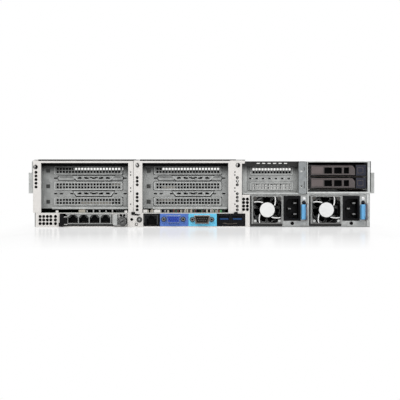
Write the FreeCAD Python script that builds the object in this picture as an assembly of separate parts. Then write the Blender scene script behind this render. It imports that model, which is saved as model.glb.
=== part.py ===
"""A 2U rack server, built as separate pieces in one frame.

Millimetres. +Z is up. -Y is the rear, where the ports and supplies are, and +Y is the
front, where the drives go in. +X is to the right of someone who looks at the rear.
The origin is the middle of the footprint, on the surface that the chassis lies on.
"""
import FreeCAD, Part
import math
import os

V = FreeCAD.Vector

# ---------------------------------------------------------------- driving dimensions
BODY_WIDTH = 435.0          # sheet-metal body, rails and clearance inside a 450 mm rack opening
BODY_LENGTH = 748.0
BODY_HEIGHT = 87.5          # two rack units less the working gap
EAR_WIDTH = 482.6           # across the front ears
SHEET = 1.2                 # chassis steel

HALF_WIDTH = BODY_WIDTH / 2
REAR = -BODY_LENGTH / 2
FRONT = BODY_LENGTH / 2
WALL_TOP = 86.3             # top edge of the side walls, under the cover
LOW_TOP = 85.2              # top of the low riser and the drive cage, which the cover leaves free
LOW_END = 150.0             # they reach this far in from the rear face
LOW_START_X = 56.8         # and start here, right of the second riser

# rear face, heights
SHELF_Z = 18.6              # top of the lower port strip, which carries the riser frames
WINDOW_TOP_Z = 82.9
FRAME_TOP_Z = 86.2
FRAME_SHEET = 1.5
RECESS = 20.0               # slot plates stand this far inside the rear face

# expansion slots
SLOT_PITCH = 20.32
SLOT_Z = [33.0, 33.0 + SLOT_PITCH, 33.0 + 2 * SLOT_PITCH]
LOW_SLOT_Z = [52.8, 52.8 + SLOT_PITCH]
PANEL_HEIGHT = 10.4         # raised, perforated part of a slot cover
HOLE = 2.65                 # square perforation
HOLE_PITCH = 4.02
HOLE_ROWS = 3.9
SLOT_SHEET = 1.0

# riser windows, across the rear
WINDOW_1 = (-207.0, -94.6)
WINDOW_2 = (-76.3, 34.6)
WINDOW_3 = (52.9, 125.9)
FRAME_SEAM_X = -87.9
FRAME_2_END_X = 52.2
WINDOW_3_FLOOR_Z = 43.6
SUPPLY_ROOF_Z = 42.8      # roof of the supply cage, on which the third riser stands

# power supplies
PSU_WIDTH = 73.5
PSU_HEIGHT = 40.0
PSU_LENGTH = 185.0
PSU_LEFT_X = [62.7, 139.0]
PSU_FLOOR_Z = 1.3
FAN_X = 22.3                # from the case's left side
FAN_Z = 22.4
FAN_SIDE = 39.6
FAN_FRAME_Z = (3.0, 40.8)
FAN_HUB_R = 10.4
FAN_BORE_R = 17.9
SHAFT_R = 1.5
INLET_SPAN = (43.2, 65.2)   # from the case's left side
INLET_Z = (8.4, 40.6)
BORE_PLAY = 0.05

# rear drive bays
BAY_LEFT_X = 136.2
BAY_RIGHT_X = 214.4
BAY_FLOOR_Z = 45.7
BAY_TOP_Z = 83.8
CARRIER_Z = [57.0, 73.4]
CARRIER_SPAN = (139.0, 212.6)
CARRIER_HEIGHT = 14.8

# network module
NIC_OPENING = (-183.2, -95.6)
NIC_FACE = (-173.6, -96.4)
NIC_Z = (1.3, 17.3)
JACK_PITCH = 13.97          # four ganged modular jacks
JACK_X = [-165.9 + JACK_PITCH * index for index in range(4)]
MODULE_SCREW = (-101.9, 7.7)

# rear ports
PORT_STRIP = (-75.2, 56.6)
PORT_Z = (1.2, 17.6)
UID_X = -80.2
UID_Z = 9.8
USB_X = [29.2, 46.2]

# inside
BOARD_Z = (6.0, 7.6)
FAN_WALL = (60.0, 110.0)
SYSTEM_FAN_X = [-155.2, -51.7, 51.7, 155.2]
SYSTEM_FAN_Z = 43.5
SYSTEM_FAN_R = 38.0
CAGE_REAR = FRONT - 190.0
DRIVE_PITCH = 106.0
DRIVE_ROWS_Z = [(2.8, 28.2), (30.4, 55.8)]

# rack ears, hole places of the 19-inch standard
EAR_HOLE_X = 465.1 / 2
EAR_HOLE_Z = [BODY_HEIGHT / 2 - 38.1, BODY_HEIGHT / 2 + 38.1]
EAR_SHEET = 2.0
GRIP_REACH = 24.0
BUTTON_PROUD = 0.6


# ---------------------------------------------------------------- helpers
def block(x, y, z):
    """A box between three (low, high) spans."""
    return Part.makeBox(x[1] - x[0], y[1] - y[0], z[1] - z[0], V(x[0], y[0], z[0]))


def around(centre, size):
    """The span of a size about its centre."""
    return (centre - size / 2, centre + size / 2)


def rod_y(x, z, radius, y):
    """A round bar along Y between two depths."""
    return Part.makeCylinder(radius, y[1] - y[0], V(x, y[0], z), V(0, 1, 0))


def rod_z(x, y, radius, z):
    """A round bar along Z between two heights."""
    return Part.makeCylinder(radius, z[1] - z[0], V(x, y, z[0]))


def prism_xz(points, y):
    """A profile of (x, z) points carried along Y."""
    wire = Part.makePolygon([V(x, y[0], z) for x, z in points + points[:1]])
    return Part.Face(wire).extrude(V(0, y[1] - y[0], 0))


def prism_xy(points, z):
    """A profile of (x, y) points carried along Z."""
    wire = Part.makePolygon([V(x, y, z[0]) for x, y in points + points[:1]])
    return Part.Face(wire).extrude(V(0, 0, z[1] - z[0]))


def clipped(x, y, z, corner):
    """A plate in the XZ plane whose four corners are cut back."""
    return prism_xz([(x[0] + corner, z[0]), (x[1] - corner, z[0]), (x[1], z[0] + corner),
                     (x[1], z[1] - corner), (x[1] - corner, z[1]), (x[0] + corner, z[1]),
                     (x[0], z[1] - corner), (x[0], z[0] + corner)], y)


def many_sided(x, z, radius, sides, y):
    """A bar along Y with a regular outline, one corner to the right."""
    turns = [2 * math.pi * i / sides for i in range(sides)]
    return prism_xz([(x + radius * math.cos(a), z + radius * math.sin(a)) for a in turns], y)


def hexagon(x, z, radius, y):
    """A six-sided bar along Y."""
    return many_sided(x, z, radius, 6, y)


def is_along(edge, axis):
    """True for a straight edge that runs along one axis."""
    run = edge.Vertexes[-1].Point - edge.Vertexes[0].Point
    return abs(abs(run.dot(axis)) - run.Length) < 1e-6


def join(pieces):
    """One solid from pieces that touch or overlap."""
    body = pieces[0].multiFuse(pieces[1:])
    return body.removeSplitter()


def cut(body, tools):
    """The body less every tool."""
    return body.cut(Part.makeCompound(tools))


def turned_y(shape, x, z, degrees):
    """A copy of a shape, turned about an axis along Y."""
    copy = shape.copy()
    copy.rotate(V(x, 0, z), V(0, 1, 0), degrees)
    return copy


def mirrored(shape):
    """The same shape on the other side of the chassis."""
    return shape.mirror(V(0, 0, 0), V(1, 0, 0))


def save(name, pieces):
    """Write one node, from one solid or a list of separate solids."""
    shape = Part.makeCompound(pieces) if isinstance(pieces, list) else pieces
    shape.exportStep("parts/" + name + ".step")


def deep(*distances):
    """Depths counted inwards from the rear face."""
    return tuple(REAR + distance for distance in distances)


# ---------------------------------------------------------------- chassis
def chassis_tray():
    """The floor and the two side walls, folded from one sheet."""
    floor = block((-HALF_WIDTH, HALF_WIDTH), (REAR + 1.5, FRONT - 2), (0, SHEET))
    left = block((-HALF_WIDTH, -HALF_WIDTH + SHEET), (REAR + 1.5, FRONT - 2), (0, WALL_TOP))
    tray = join([floor, left, mirrored(left)])
    step = block((-HALF_WIDTH - 1, -213.0), deep(0, 14), (-1, SHELF_Z))
    low_wall = block((HALF_WIDTH - SHEET - 1, HALF_WIDTH + 1), deep(0, LOW_END), (LOW_TOP, BODY_HEIGHT))
    return join([cut(tray, [step, low_wall])] + board_standoffs())


def vent_holes(columns, rows, radius):
    """Six-sided bars for a grid of vents through the rear sheet."""
    return [hexagon(x, z, radius, deep(-1, 3)) for x in columns for z in rows]


def rear_panel():
    """The white sheet across the foot of the rear: vents, module opening, port opening."""
    outline = [(-214.2, 0), (62.4, 0), (62.4, 42), (52.5, 42), (52.5, SHELF_Z), (-214.2, SHELF_Z)]
    sheet = prism_xz(outline, deep(0.3, 1.5))
    flange = block((-214.2, -213.0), deep(1.5, 14), (0, SHELF_Z))
    bezel = rod_y(UID_X, UID_Z, 3.4, deep(-0.2, 0.3))
    body = join([sheet, flange, bezel])
    left_vents = vent_holes([-208.4, -203.8, -199.1, -194.6, -188.6], [13.8, 9.3, 4.6], 1.5)
    right_vents = vent_holes([54.4, 59.2], [22.8, 27.3, 31.8, 36.2], 1.5)
    module = block(NIC_OPENING, deep(-1, 3), (SHEET, 17.6))
    ports = block(PORT_STRIP, deep(-1, 3), PORT_Z)
    button = rod_y(UID_X, UID_Z, 2.9, deep(-1, 3))
    small = [hexagon(-90.1, 10.0, 1.4, deep(-1, 3)), hexagon(-84.0, 3.9, 1.8, deep(-1, 3))]
    return cut(body, left_vents + right_vents + [module, ports, button] + small)


def divider_bracket():
    """The rounded grey strap between the third riser and the drive bays."""
    plate = clipped((WINDOW_3[1], BAY_LEFT_X), deep(0, 1.5), (43.2, 84.6), 2.0)
    holes = [hexagon(WINDOW_3[1] + 3.3, z, 1.0, deep(-1, 3)) for z in (52.8, 74.2)]
    web = block((WINDOW_3[1], WINDOW_3[1] + SHEET), deep(1.5, 40), (43.6, 84.2))
    return join([cut(plate, holes), web])


def inner_rail():
    """The left slide rail: a C section on a tall web, fixed to the side wall."""
    x = -HALF_WIDTH
    profile = [
        (x, 43.7), (x - 6.4, 43.7), (x - 6.4, 54.0), (x - 5.2, 54.0), (x - 5.2, 44.9),
        (x - 1.2, 44.9), (x - 1.2, 69.3), (x - 5.2, 69.3), (x - 5.2, 60.2), (x - 6.4, 60.2),
        (x - 6.4, 70.5), (x - 1.8, 70.5), (x - 1.8, 85.6), (x, 85.6),
    ]
    return prism_xz(profile, (REAR + 6, FRONT - 70))


def rack_ear():
    """The left front ear: side leg, slotted flange and moulded grip."""
    inner = -HALF_WIDTH
    leg = block((inner - 1.8, inner), (FRONT - 60, FRONT), (1, WALL_TOP - 0.4))
    flange = block((-EAR_WIDTH / 2, inner), (FRONT - EAR_SHEET, FRONT), (0.4, 86.8))
    grip = prism_xy(
        [(inner - 3, FRONT), (inner - 3, FRONT + 9), (inner - 7, FRONT + GRIP_REACH),
         (inner - 12, FRONT + GRIP_REACH), (inner - 15.6, FRONT + 16), (inner - 15.6, FRONT)],
        (14, 73.5))
    slots = []
    for z in EAR_HOLE_Z:
        middle = block(around(-EAR_HOLE_X, 3.2), (FRONT - 3, FRONT + 1), around(z, 6.8))
        ends = [rod_y(-EAR_HOLE_X + side * 1.6, z, 3.4, (FRONT - 3, FRONT + 1)) for side in (-1, 1)]
        slots.append(join([middle] + ends))
    return cut(join([leg, flange, grip]), slots)


POWER_X = HALF_WIDTH + 9.5
POWER_Z = 60.0


def rack_ears():
    """Both ears. The right one holds the power button."""
    right = mirrored(rack_ear())
    well = rod_y(POWER_X, POWER_Z, 4.3, (FRONT + 12, FRONT + GRIP_REACH + 1))
    return [rack_ear(), cut(right, [well])]


# ---------------------------------------------------------------- risers
def frame_outline(left, right, foot_left, foot_right, window):
    """An arch: a column at each side of a window and a bar over it."""
    return [(left, foot_left), (window[0], foot_left), (window[0], WINDOW_TOP_Z),
            (window[1], WINDOW_TOP_Z), (window[1], foot_right), (right, foot_right),
            (right, FRAME_TOP_Z), (left, FRAME_TOP_Z)]


COLUMN_HOLES_Z = [22.4, 27.0, 34.0, 38.6, 43.2, 54.8, 59.4, 64.0]


def riser_1_frame():
    """The white arch round the first window."""
    outline = frame_outline(-HALF_WIDTH, FRAME_SEAM_X - 0.2, SHELF_Z, SHELF_Z, WINDOW_1)
    sheet = prism_xz(outline, deep(0, FRAME_SHEET))
    lip = block((-206.0, -95.6), deep(FRAME_SHEET, 8), (WALL_TOP - 1.2, WALL_TOP))
    holes = vent_holes([-213.6], [52.0 + 4.7 * step for step in range(5)], 1.5)
    return cut(join([sheet, lip]), holes)


def riser_2_frame():
    """The white arch round the second window, with a tab at its top right corner."""
    outline = frame_outline(FRAME_SEAM_X + 0.2, FRAME_2_END_X, SHELF_Z, SHELF_Z, WINDOW_2)
    sheet = prism_xz(outline, deep(0, FRAME_SHEET))
    tab = clipped((46.9, 56.0), deep(0, FRAME_SHEET), (82.0, 86.0), 0.8)
    lip = block((-75.3, 33.6), deep(FRAME_SHEET, 8), (WALL_TOP - 1.2, WALL_TOP))
    holes = vent_holes([-83.0, 45.7], COLUMN_HOLES_Z, 1.4)
    return cut(join([sheet, tab, lip]), holes)


def slot_bar(x, z, bossed):
    """The bar between two slots: a raised flap with slits, and slits or ovals beside it."""
    centre = (x[0] + x[1]) / 2 + 9.8
    low = z - 3.0
    high = z + 3.0
    pressed = deep(RECESS - 0.9, RECESS)
    through = deep(RECESS - 2, RECESS + 3)
    raised = [prism_xz([(centre - 22.5, low), (centre + 22.5, low), (centre + 27.3, high),
                        (centre - 27.3, high)], pressed)]
    slits = [block(around(centre + 9.3 * step, 5.1), through, around(z, 1.8)) for step in (-2, -1, 0, 1, 2)]
    places = [x[0] + 16.1, x[1] - 5.4]
    if bossed:
        raised += [clipped(span, pressed, (low + 0.3, high - 0.3), 1.6) for span in
                   ((x[0] + 19.4, x[0] + 41.0), (x[1] - 22.6, x[1] - 8.2))]
    else:
        places += [x[0] + 23.6, x[0] + 37.2, x[1] - 17.6]
    slits += [block(around(place, 4.1), through, around(z, 1.6)) for place in places]
    return raised, slits


def riser_cage(window, slots, panel, square_x):
    """The zinc box behind a window: slot plate, side walls, roof and foot."""
    foot = slots[0] - 9.0
    top = WINDOW_TOP_Z - 0.4
    depth = deep(FRAME_SHEET, 58)
    plate = block(window, deep(RECESS, RECESS + SHEET), (foot, slots[-1] + 6.4))
    left = block((window[0] - SLOT_SHEET, window[0]), depth, (foot, top))
    right = block((window[1], window[1] + SLOT_SHEET), depth, (foot, top))
    roof = block(window, deep(RECESS + 6, 58), (top - 1.0, top))
    sill = block(window, deep(RECESS - 9, RECESS), (foot, foot + 1.2))
    parts = [plate, left, right, roof, sill]
    tools = [block((panel[0] - 0.5, panel[1] + 0.5), deep(RECESS - 1, RECESS + 2),
                   around(z, PANEL_HEIGHT + 1)) for z in slots]
    tools += [block(around(square_x, 5.2), deep(RECESS - 1, RECESS + 2), around(z - 0.5, 5.2))
              for z in slots]
    for index in range(len(slots) - 1):
        middle = (slots[index] + slots[index + 1]) / 2
        raised, slits = slot_bar(window, middle, index == len(slots) - 2)
        parts += raised
        tools += slits
    return cut(join(parts), tools)


def riser_3_cage():
    """The grey housing of the two low slots, with a row of slits over them."""
    x = WINDOW_3
    top = LOW_TOP
    plate = block(x, deep(RECESS, RECESS + SHEET), (WINDOW_3_FLOOR_Z, top - 6.0))
    brow = block(x, deep(9, 10), (78.6, top))
    right = block((x[1] - SLOT_SHEET, x[1]), deep(FRAME_SHEET, 58), (WINDOW_3_FLOOR_Z, top))
    left = block((x[0], x[0] + SLOT_SHEET), deep(FRAME_SHEET, 58), (WINDOW_3_FLOOR_Z, top))
    floor = block(x, deep(0.3, 58), (SUPPLY_ROOF_Z, WINDOW_3_FLOOR_Z + 0.6))
    step = block(x, deep(9, RECESS), (78.6, 79.6))
    face = block((x[0], x[0] + 6.0), deep(8, 9), (WINDOW_3_FLOOR_Z + 1, top))
    roof = block((LOW_START_X + 0.4, x[1]), deep(9, LOW_END - 1), (top - 1.0, top))
    body = join([plate, brow, right, left, floor, step, face, roof])
    tools = [block((61.4, 118.6), deep(RECESS - 1, RECESS + 2), around(z, PANEL_HEIGHT + 1))
             for z in LOW_SLOT_Z]
    tools += [block(around(72.9 + 7.0 * index, 4.7), deep(8, 11), around(82.7, 1.4))
              for index in range(6)]
    middle = sum(LOW_SLOT_Z) / 2
    tools += [block(around(64.5 + 8.4 * index, 4.3), deep(RECESS - 1, RECESS + 2), around(middle, 1.8))
              for index in range(7)]
    return cut(body, tools)


def slot_cover(panel, z, columns, first_x):
    """One pressed blank, its raised panel slotted, and the rib that halves each slot."""
    rim = block((panel[0] - 3.5, panel[1] + 3.5), deep(RECESS + SHEET, RECESS + SHEET + SLOT_SHEET),
                around(z, PANEL_HEIGHT + 4.4))
    raised = clipped(panel, deep(RECESS - 1.2, RECESS + SHEET + SLOT_SHEET),
                     around(z, PANEL_HEIGHT), 1.4)
    dish = block((panel[0] + 1.2, panel[1] - 1.2), deep(RECESS - 0.4, RECESS + 4),
                 around(z, PANEL_HEIGHT - 2.0))
    slots = [block(around(first_x + HOLE_PITCH * column, HOLE), deep(RECESS - 2, RECESS + 1),
                   around(z, HOLE_ROWS + HOLE))
             for column in range(columns)]
    rib = block((panel[0] + 1.2, panel[1] - 1.2), deep(RECESS - 0.4, RECESS + 0.2),
                around(z, HOLE_ROWS - HOLE))
    return [cut(join([rim, raised]), [dish] + slots), rib]


PANEL_1 = (-189.8, -101.1)
PANEL_2 = (-62.4, 26.4)
PANEL_3 = (61.9, 118.1)


def slot_covers():
    """Three blanks for each tall riser and two for the low one."""
    covers = []
    for z in SLOT_Z:
        covers += slot_cover(PANEL_1, z, 21, -185.2)
        covers += slot_cover(PANEL_2, z, 21, -57.6)
    for z in LOW_SLOT_Z:
        covers += slot_cover(PANEL_3, z, 13, 66.0)
    return covers


def riser_card(x, slots, side):
    """A vertical board with one edge socket for each slot."""
    top = slots[-1] + 7.0
    board = block((x, x + 1.6), deep(60, 240), (BOARD_Z[1] + 2, top))
    key = block((x, x + 1.6), deep(70, 190), (BOARD_Z[1], BOARD_Z[1] + 2))
    sockets = [block((x - 11, x) if side < 0 else (x + 1.6, x + 12.6), deep(75, 164), around(z + 4, 7.5))
               for z in slots]
    return join([board, key] + sockets)


def riser_cards():
    """The three boards that bring the slots up from the main board."""
    return [riser_card(WINDOW_1[1] - 4, SLOT_Z, -1), riser_card(WINDOW_2[1] - 4, SLOT_Z, -1)]


# ---------------------------------------------------------------- rear ports
def jack_outline(x, floor, width, height):
    """The stepped mouth of a modular jack, latch side up."""
    half = width / 2
    return [(x - half, floor), (x + half, floor), (x + half, floor + 0.62 * height),
            (x + 0.30 * width, floor + 0.62 * height), (x + 0.30 * width, floor + 0.82 * height),
            (x + 0.17 * width, floor + 0.82 * height), (x + 0.17 * width, floor + height),
            (x - 0.17 * width, floor + height), (x - 0.17 * width, floor + 0.82 * height),
            (x - 0.30 * width, floor + 0.82 * height), (x - 0.30 * width, floor + 0.62 * height),
            (x - half, floor + 0.62 * height)]


def management_port():
    """A single modular jack in a black housing."""
    housing = block((-75.1, -53.8), deep(0.2, 13.8), PORT_Z)
    body = block((-75.1, -53.8), deep(13.8, 22), (BOARD_Z[1], PORT_Z[1]))
    mouth = prism_xz(jack_outline(-64.6, 3.0, 12.2, 12.2), deep(-1, 12))
    return cut(join([housing, body]), [mouth])


def d_shell(x, z, width, height, y):
    """The trapezoid of a D connector, wide side up."""
    half = width / 2
    slope = height * 0.18
    return prism_xz([(x - half, z + height / 2), (x - half + slope, z - height / 2),
                     (x + half - slope, z - height / 2), (x + half, z + height / 2)], y)


def video_port():
    """The fifteen-way socket on its plate."""
    centre = (-36.1, 10.3)
    plate = block((-53.7, -18.2), deep(0.5, 1.7), PORT_Z)
    flange = clipped(around(centre[0], 31.0), deep(0, 0.5), around(centre[1], 12.2), 1.6)
    insert = d_shell(centre[0], centre[1], 16.6, 8.0, deep(-4.4, 0))
    base = block(around(centre[0], 30.0), deep(1.7, 14), (BOARD_Z[1], 16.4))
    nuts = [hexagon(centre[0] + side * 12.5, centre[1], 2.7, deep(-4.6, 0)) for side in (-1, 1)]
    return join([plate, flange, insert, base] + nuts)


def serial_port():
    """The nine-way plug: an open shell with its pins, on its plate."""
    centre = (0.7, 10.0)
    plate = block((-18.1, 19.8), deep(0.5, 1.7), PORT_Z)
    flange = clipped(around(centre[0], 31.0), deep(0, 0.5), around(centre[1], 12.2), 1.6)
    shell = d_shell(centre[0], centre[1], 17.4, 8.8, deep(-5.4, 0))
    well = d_shell(centre[0], centre[1], 16.2, 7.6, deep(-6, 0))
    base = block(around(centre[0], 30.0), deep(1.7, 14), (BOARD_Z[1], 16.4))
    nuts = [hexagon(centre[0] + side * 12.5, centre[1], 2.7, deep(-4.6, 0)) for side in (-1, 1)]
    rows = [(5, 1.42), (4, -1.42)]
    pins = [block(around(centre[0] + 2.77 * (i - (count - 1) / 2), 0.9), deep(-4.4, 0.1),
                  around(centre[1] + height, 0.9)) for count, height in rows for i in range(count)]
    return join([plate, flange, cut(shell, [well]), base] + nuts + pins)


def usb_ports():
    """Two flat sockets side by side in a black housing, each with its tongue."""
    housing = block((19.9, 56.5), deep(0.2, 13.8), PORT_Z)
    body = block((19.9, 56.5), deep(13.8, 20), (BOARD_Z[1], PORT_Z[1]))
    wells = [block(around(x, 13.1), deep(-1, 17), (8.6, 14.8)) for x in USB_X]
    tongues = [block(around(x, 11.1), deep(1.2, 17.5), (11.8, 13.8)) for x in USB_X]
    return join([cut(join([housing, body]), wells)] + tongues)


def uid_button():
    """The small round button that lights the finder lamp."""
    return rod_y(UID_X, UID_Z, 2.5, deep(-0.9, 8.0))


def power_button():
    """The round cap in the right ear."""
    return rod_y(POWER_X, POWER_Z, 3.9, (FRONT + 14, FRONT + GRIP_REACH + BUTTON_PROUD))


# ---------------------------------------------------------------- network module
def nic_faceplate():
    """The module's metal face, cut for its jacks, with a folded tab and screw plate."""
    face = block(NIC_FACE, deep(0.2, 1.4), NIC_Z)
    tab = block((-113.9, -108.3), deep(-4.5, 0.2), (2.8, 16.2))
    jacks = [block(around(x, 13.2), deep(-1, 3), (5.1, 16.5)) for x in JACK_X]
    holes = [hexagon(x, 15.3, 1.2, deep(-1, 3)) for x in (-104.1, -99.8)]
    screw = rod_y(MODULE_SCREW[0], MODULE_SCREW[1], 2.4, deep(-1, 3))
    foot = block(NIC_FACE, deep(1.4, 12), (NIC_Z[0], NIC_Z[0] + 1.0))
    ears = [block((-177.1, NIC_FACE[0] + 1), deep(-4.7, 0.2), z) for z in ((3.0, 4.3), (12.7, 14.0))]
    pin = rod_z(LEVER_PIVOT[0], REAR + LEVER_PIVOT[1], 0.9, (4.3, 12.7))
    return join([cut(join([face, tab, foot]), jacks + holes + [screw]), pin] + ears)


def nic_jacks():
    """Four shielded jacks in one bank."""
    cans = []
    for x in JACK_X:
        can = block(around(x, 13.2), deep(0.0, 20), (5.1, 16.5))
        mouth = prism_xz(jack_outline(x, 5.9, 11.8, 9.8), deep(-1, 13))
        cans.append(cut(can, [mouth]))
    return cans


def nic_board():
    """The card behind the face, with its heat sink and edge connector."""
    board = block((-171.8, -98.6), deep(1.4, 120), (3.5, 5.1))
    sink_base = block((-161.0, -115.3), deep(45, 95), (5.1, 8.0))
    fins = [block((-161.0 + 8.84 * i, -159.5 + 8.84 * i), deep(45, 95), (8.0, 15.5)) for i in range(6)]
    edge = block((-160.0, -112.0), deep(112, 124), (5.1, 9.0))
    return join([board, sink_base, edge] + fins)


def nic_thumbscrew():
    """The knurled captive screw that holds the module."""
    x, z = MODULE_SCREW
    points = []
    ridges = 12
    for i in range(2 * ridges):
        radius = 5.5 if i % 2 else 5.0
        angle = math.pi * i / ridges
        points.append((x + radius * math.cos(angle), z + radius * math.sin(angle)))
    head = prism_xz(points, deep(-10, -0.1))
    shank = rod_y(x, z, 2.1, deep(-1, 9))
    slot = block(around(x, 7.0), deep(-11, -8.8), around(z, 1.0))
    return cut(join([head, shank]), [slot])


LEVER_PIVOT = (-175.5, -3.0)


def nic_lever():
    """The black ejector at the module's left edge, on an upright pin."""
    pivot_x = LEVER_PIVOT[0]
    y = REAR + LEVER_PIVOT[1]
    barrel = rod_z(pivot_x, y, 1.9, (4.5, 12.5))
    web = block((-178.3, pivot_x), deep(-4.4, -1.8), (4.5, 12.5))
    blade = prism_xz([(-183.9, 1.2), (-178.1, 1.2), (-178.1, 17.4), (-182.3, 17.4), (-182.3, 6.6),
                      (-183.9, 5.2)], deep(-4.4, -0.4))
    return cut(join([barrel, web, blade]), [rod_z(pivot_x, y, 0.95, (0, 20))])


# ---------------------------------------------------------------- power supplies
def psu_case(left):
    """The steel case, open at the rear for the fan and the inlet, and the handle set on it."""
    right = left + PSU_WIDTH
    z = (PSU_FLOOR_Z, PSU_FLOOR_Z + PSU_HEIGHT)
    body = block((left, right), deep(1.0, 1.0 + PSU_LENGTH), z)
    edge = block((left + 20, right - 18), deep(1 + PSU_LENGTH, 11 + PSU_LENGTH), (9.0, 10.6))
    fan_well = block(around(left + FAN_X, FAN_SIDE), deep(0, 30.2), FAN_FRAME_Z)
    inlet_well = block((left + INLET_SPAN[0], left + INLET_SPAN[1]), deep(0, 25.5), INLET_Z)
    latch_well = block((left + 66.0, left + 70.9), deep(0, 9.5), (15.5, 24.5))
    pilot = hexagon(left + 54.5, 5.0, 2.0, deep(0, 4))
    handle = block((left + 71.5, left + 72.7), deep(-GRIP_REACH - BUTTON_PROUD, 1.0), (9.0, 31.0))
    outer = [edge for edge in handle.Edges
             if is_along(edge, V(1, 0, 0)) and edge.Vertexes[0].Y < REAR - GRIP_REACH]
    handle = handle.makeFillet(7.0, outer)
    gap = block((left + 70, left + 74), deep(-16, -5), (13.0, 27.0))
    shell = cut(join([body, edge]), [fan_well, inlet_well, latch_well, pilot])
    return [shell, cut(handle, [gap])]


def pinwheel_spoke(x, z, inner, outer, width, y):
    """One strut that leaves the hub and bends round to the frame, in the pinwheel's sense."""
    places = [(inner, 100), ((inner + outer) / 2, 114), (outer, 138)]
    low = []
    high = []
    for radius, degrees in places:
        for side, edge in ((-1, low), (1, high)):
            angle = math.radians(degrees) + side * width / 2 / radius
            edge.append((x + radius * math.cos(angle), z + radius * math.sin(angle)))
    return prism_xz(low + high[::-1], y)


def psu_fan_frame(left):
    """The square fan frame: clipped mouth, bore, pinwheel struts, hub disc and the shaft."""
    x = left + FAN_X
    z = FAN_Z
    frame = block(around(x, FAN_SIDE), deep(0.8, 30.2), FAN_FRAME_Z)
    mouth = rod_y(x, z, FAN_BORE_R, deep(0, 3)).common(block(around(x, 50), deep(0, 3), around(z, 33.4)))
    bore = many_sided(x, z, FAN_BORE_R, 12, deep(2.6, 31))
    hub = rod_y(x, z, FAN_HUB_R, deep(0.8, 3.2))
    shaft = rod_y(x, z, SHAFT_R, deep(3.2, 18))
    spoke = pinwheel_spoke(x, z, FAN_HUB_R - 1, FAN_BORE_R + 0.5, 2.0, deep(0.9, 2.6))
    spokes = [turned_y(spoke, x, z, 90 * i) for i in range(4)]
    return join([cut(frame, [mouth, bore]), hub, shaft] + spokes)


def flat_faced(rings):
    """A solid between rings of corners, its sides and two ends made of triangles."""
    triangles = []
    for first, second in zip(rings, rings[1:]):
        for i in range(len(first)):
            j = (i + 1) % len(first)
            triangles += [(first[i], first[j], second[j]), (first[i], second[j], second[i])]
    for end in (rings[0], rings[-1]):
        triangles += [(end[0], end[i], end[i + 1]) for i in range(1, len(end) - 1)]
    faces = [Part.Face(Part.makePolygon([a, b, c, a])) for a, b, c in triangles]
    return Part.makeSolid(Part.makeShell(faces))


def twisted_blade(x, z, root_r, tip_r, chord, twist, y):
    """One blade: steep at the hub and flatter towards the tip."""
    rings = []
    for share in (0.0, 0.5, 1.0):
        radius = root_r - 0.6 + (tip_r - root_r + 0.6) * share
        slope = math.radians(twist[0] + (twist[1] - twist[0]) * share)
        across = V(math.cos(slope), -math.sin(slope), 0) * (chord / 2)
        thick = V(math.sin(slope), math.cos(slope), 0) * 0.5
        centre = V(x, y, z + radius)
        rings.append([centre - across - thick, centre + across - thick, centre + across + thick,
                      centre - across + thick])
    return flat_faced(rings)


def psu_rotor(left):
    """The seven-bladed wheel behind the struts, bored for its shaft."""
    x = left + FAN_X
    y = deep(4.0, 22)
    blade = twisted_blade(x, FAN_Z, 9.2, FAN_BORE_R - 2.0, 12.0, (56, 40), (y[0] + y[1]) / 2)
    blades = [turned_y(blade, x, FAN_Z, 360 * i / 7) for i in range(7)]
    wheel = join([many_sided(x, FAN_Z, 9.6, 14, y)] + blades)
    return cut(wheel, [rod_y(x, FAN_Z, SHAFT_R + BORE_PLAY, deep(3, 19))])


def psu_inlet(left):
    """The power inlet: a deep well with two cut corners and three blades."""
    x = (left + INLET_SPAN[0], left + INLET_SPAN[1])
    housing = block(x, deep(0.2, 25.5), INLET_Z)
    mouth = [(left + 46.4, 14.6), (left + 49.8, 11.2), (left + 62.6, 11.2), (left + 62.6, 36.6),
             (left + 49.8, 36.6), (left + 46.4, 33.2)]
    well = prism_xz(mouth, deep(-1, 18))
    blades = [block(around(left + 51.0, 4.0), deep(3, 19), around(23.9, 2.0)),
              block(around(left + 58.2, 4.0), deep(3, 19), around(31.0, 2.0)),
              block(around(left + 58.2, 4.0), deep(3, 19), around(16.8, 2.0))]
    return join([cut(housing, [well])] + blades)


LATCH_ROOT = (68.4, 7.98)


def psu_latch(left):
    """The coloured thumb tab on its sprung arm."""
    tab = block((left + 65.7, left + 70.7), deep(-14, -0.6), (10.4, 29.4))
    tab = tab.makeChamfer(1.0, [edge for edge in tab.Edges if edge.CenterOfMass.y < REAR - 13.9])
    arm = block((left + 67.8, left + 69.0), deep(-1.2, 8.0), (17.0, 23.0))
    root = rod_z(left + LATCH_ROOT[0], REAR + LATCH_ROOT[1], 1.5, (17.0, 23.0))
    return join([tab, arm, root])


def psu_cage():
    """The sheet bay round both supplies: side, roof and the strip between them."""
    left = block((60.9, 62.1), deep(1.5, 200), (SHEET, SUPPLY_ROOF_Z - 1))
    roof = block((60.9, HALF_WIDTH - SHEET), deep(1.5, 200), (SUPPLY_ROOF_Z - 1, SUPPLY_ROOF_Z))
    strip = block((136.5, 138.7), deep(0.2, 1.5), (SHEET, SUPPLY_ROOF_Z))
    divider = block((137.1, 138.1), deep(1.5, 200), (SHEET, SUPPLY_ROOF_Z - 1))
    edge = block((213.0, HALF_WIDTH - SHEET), deep(0.2, 1.5), (SHEET, SUPPLY_ROOF_Z))
    return join([left, roof, strip, divider, edge])


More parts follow.
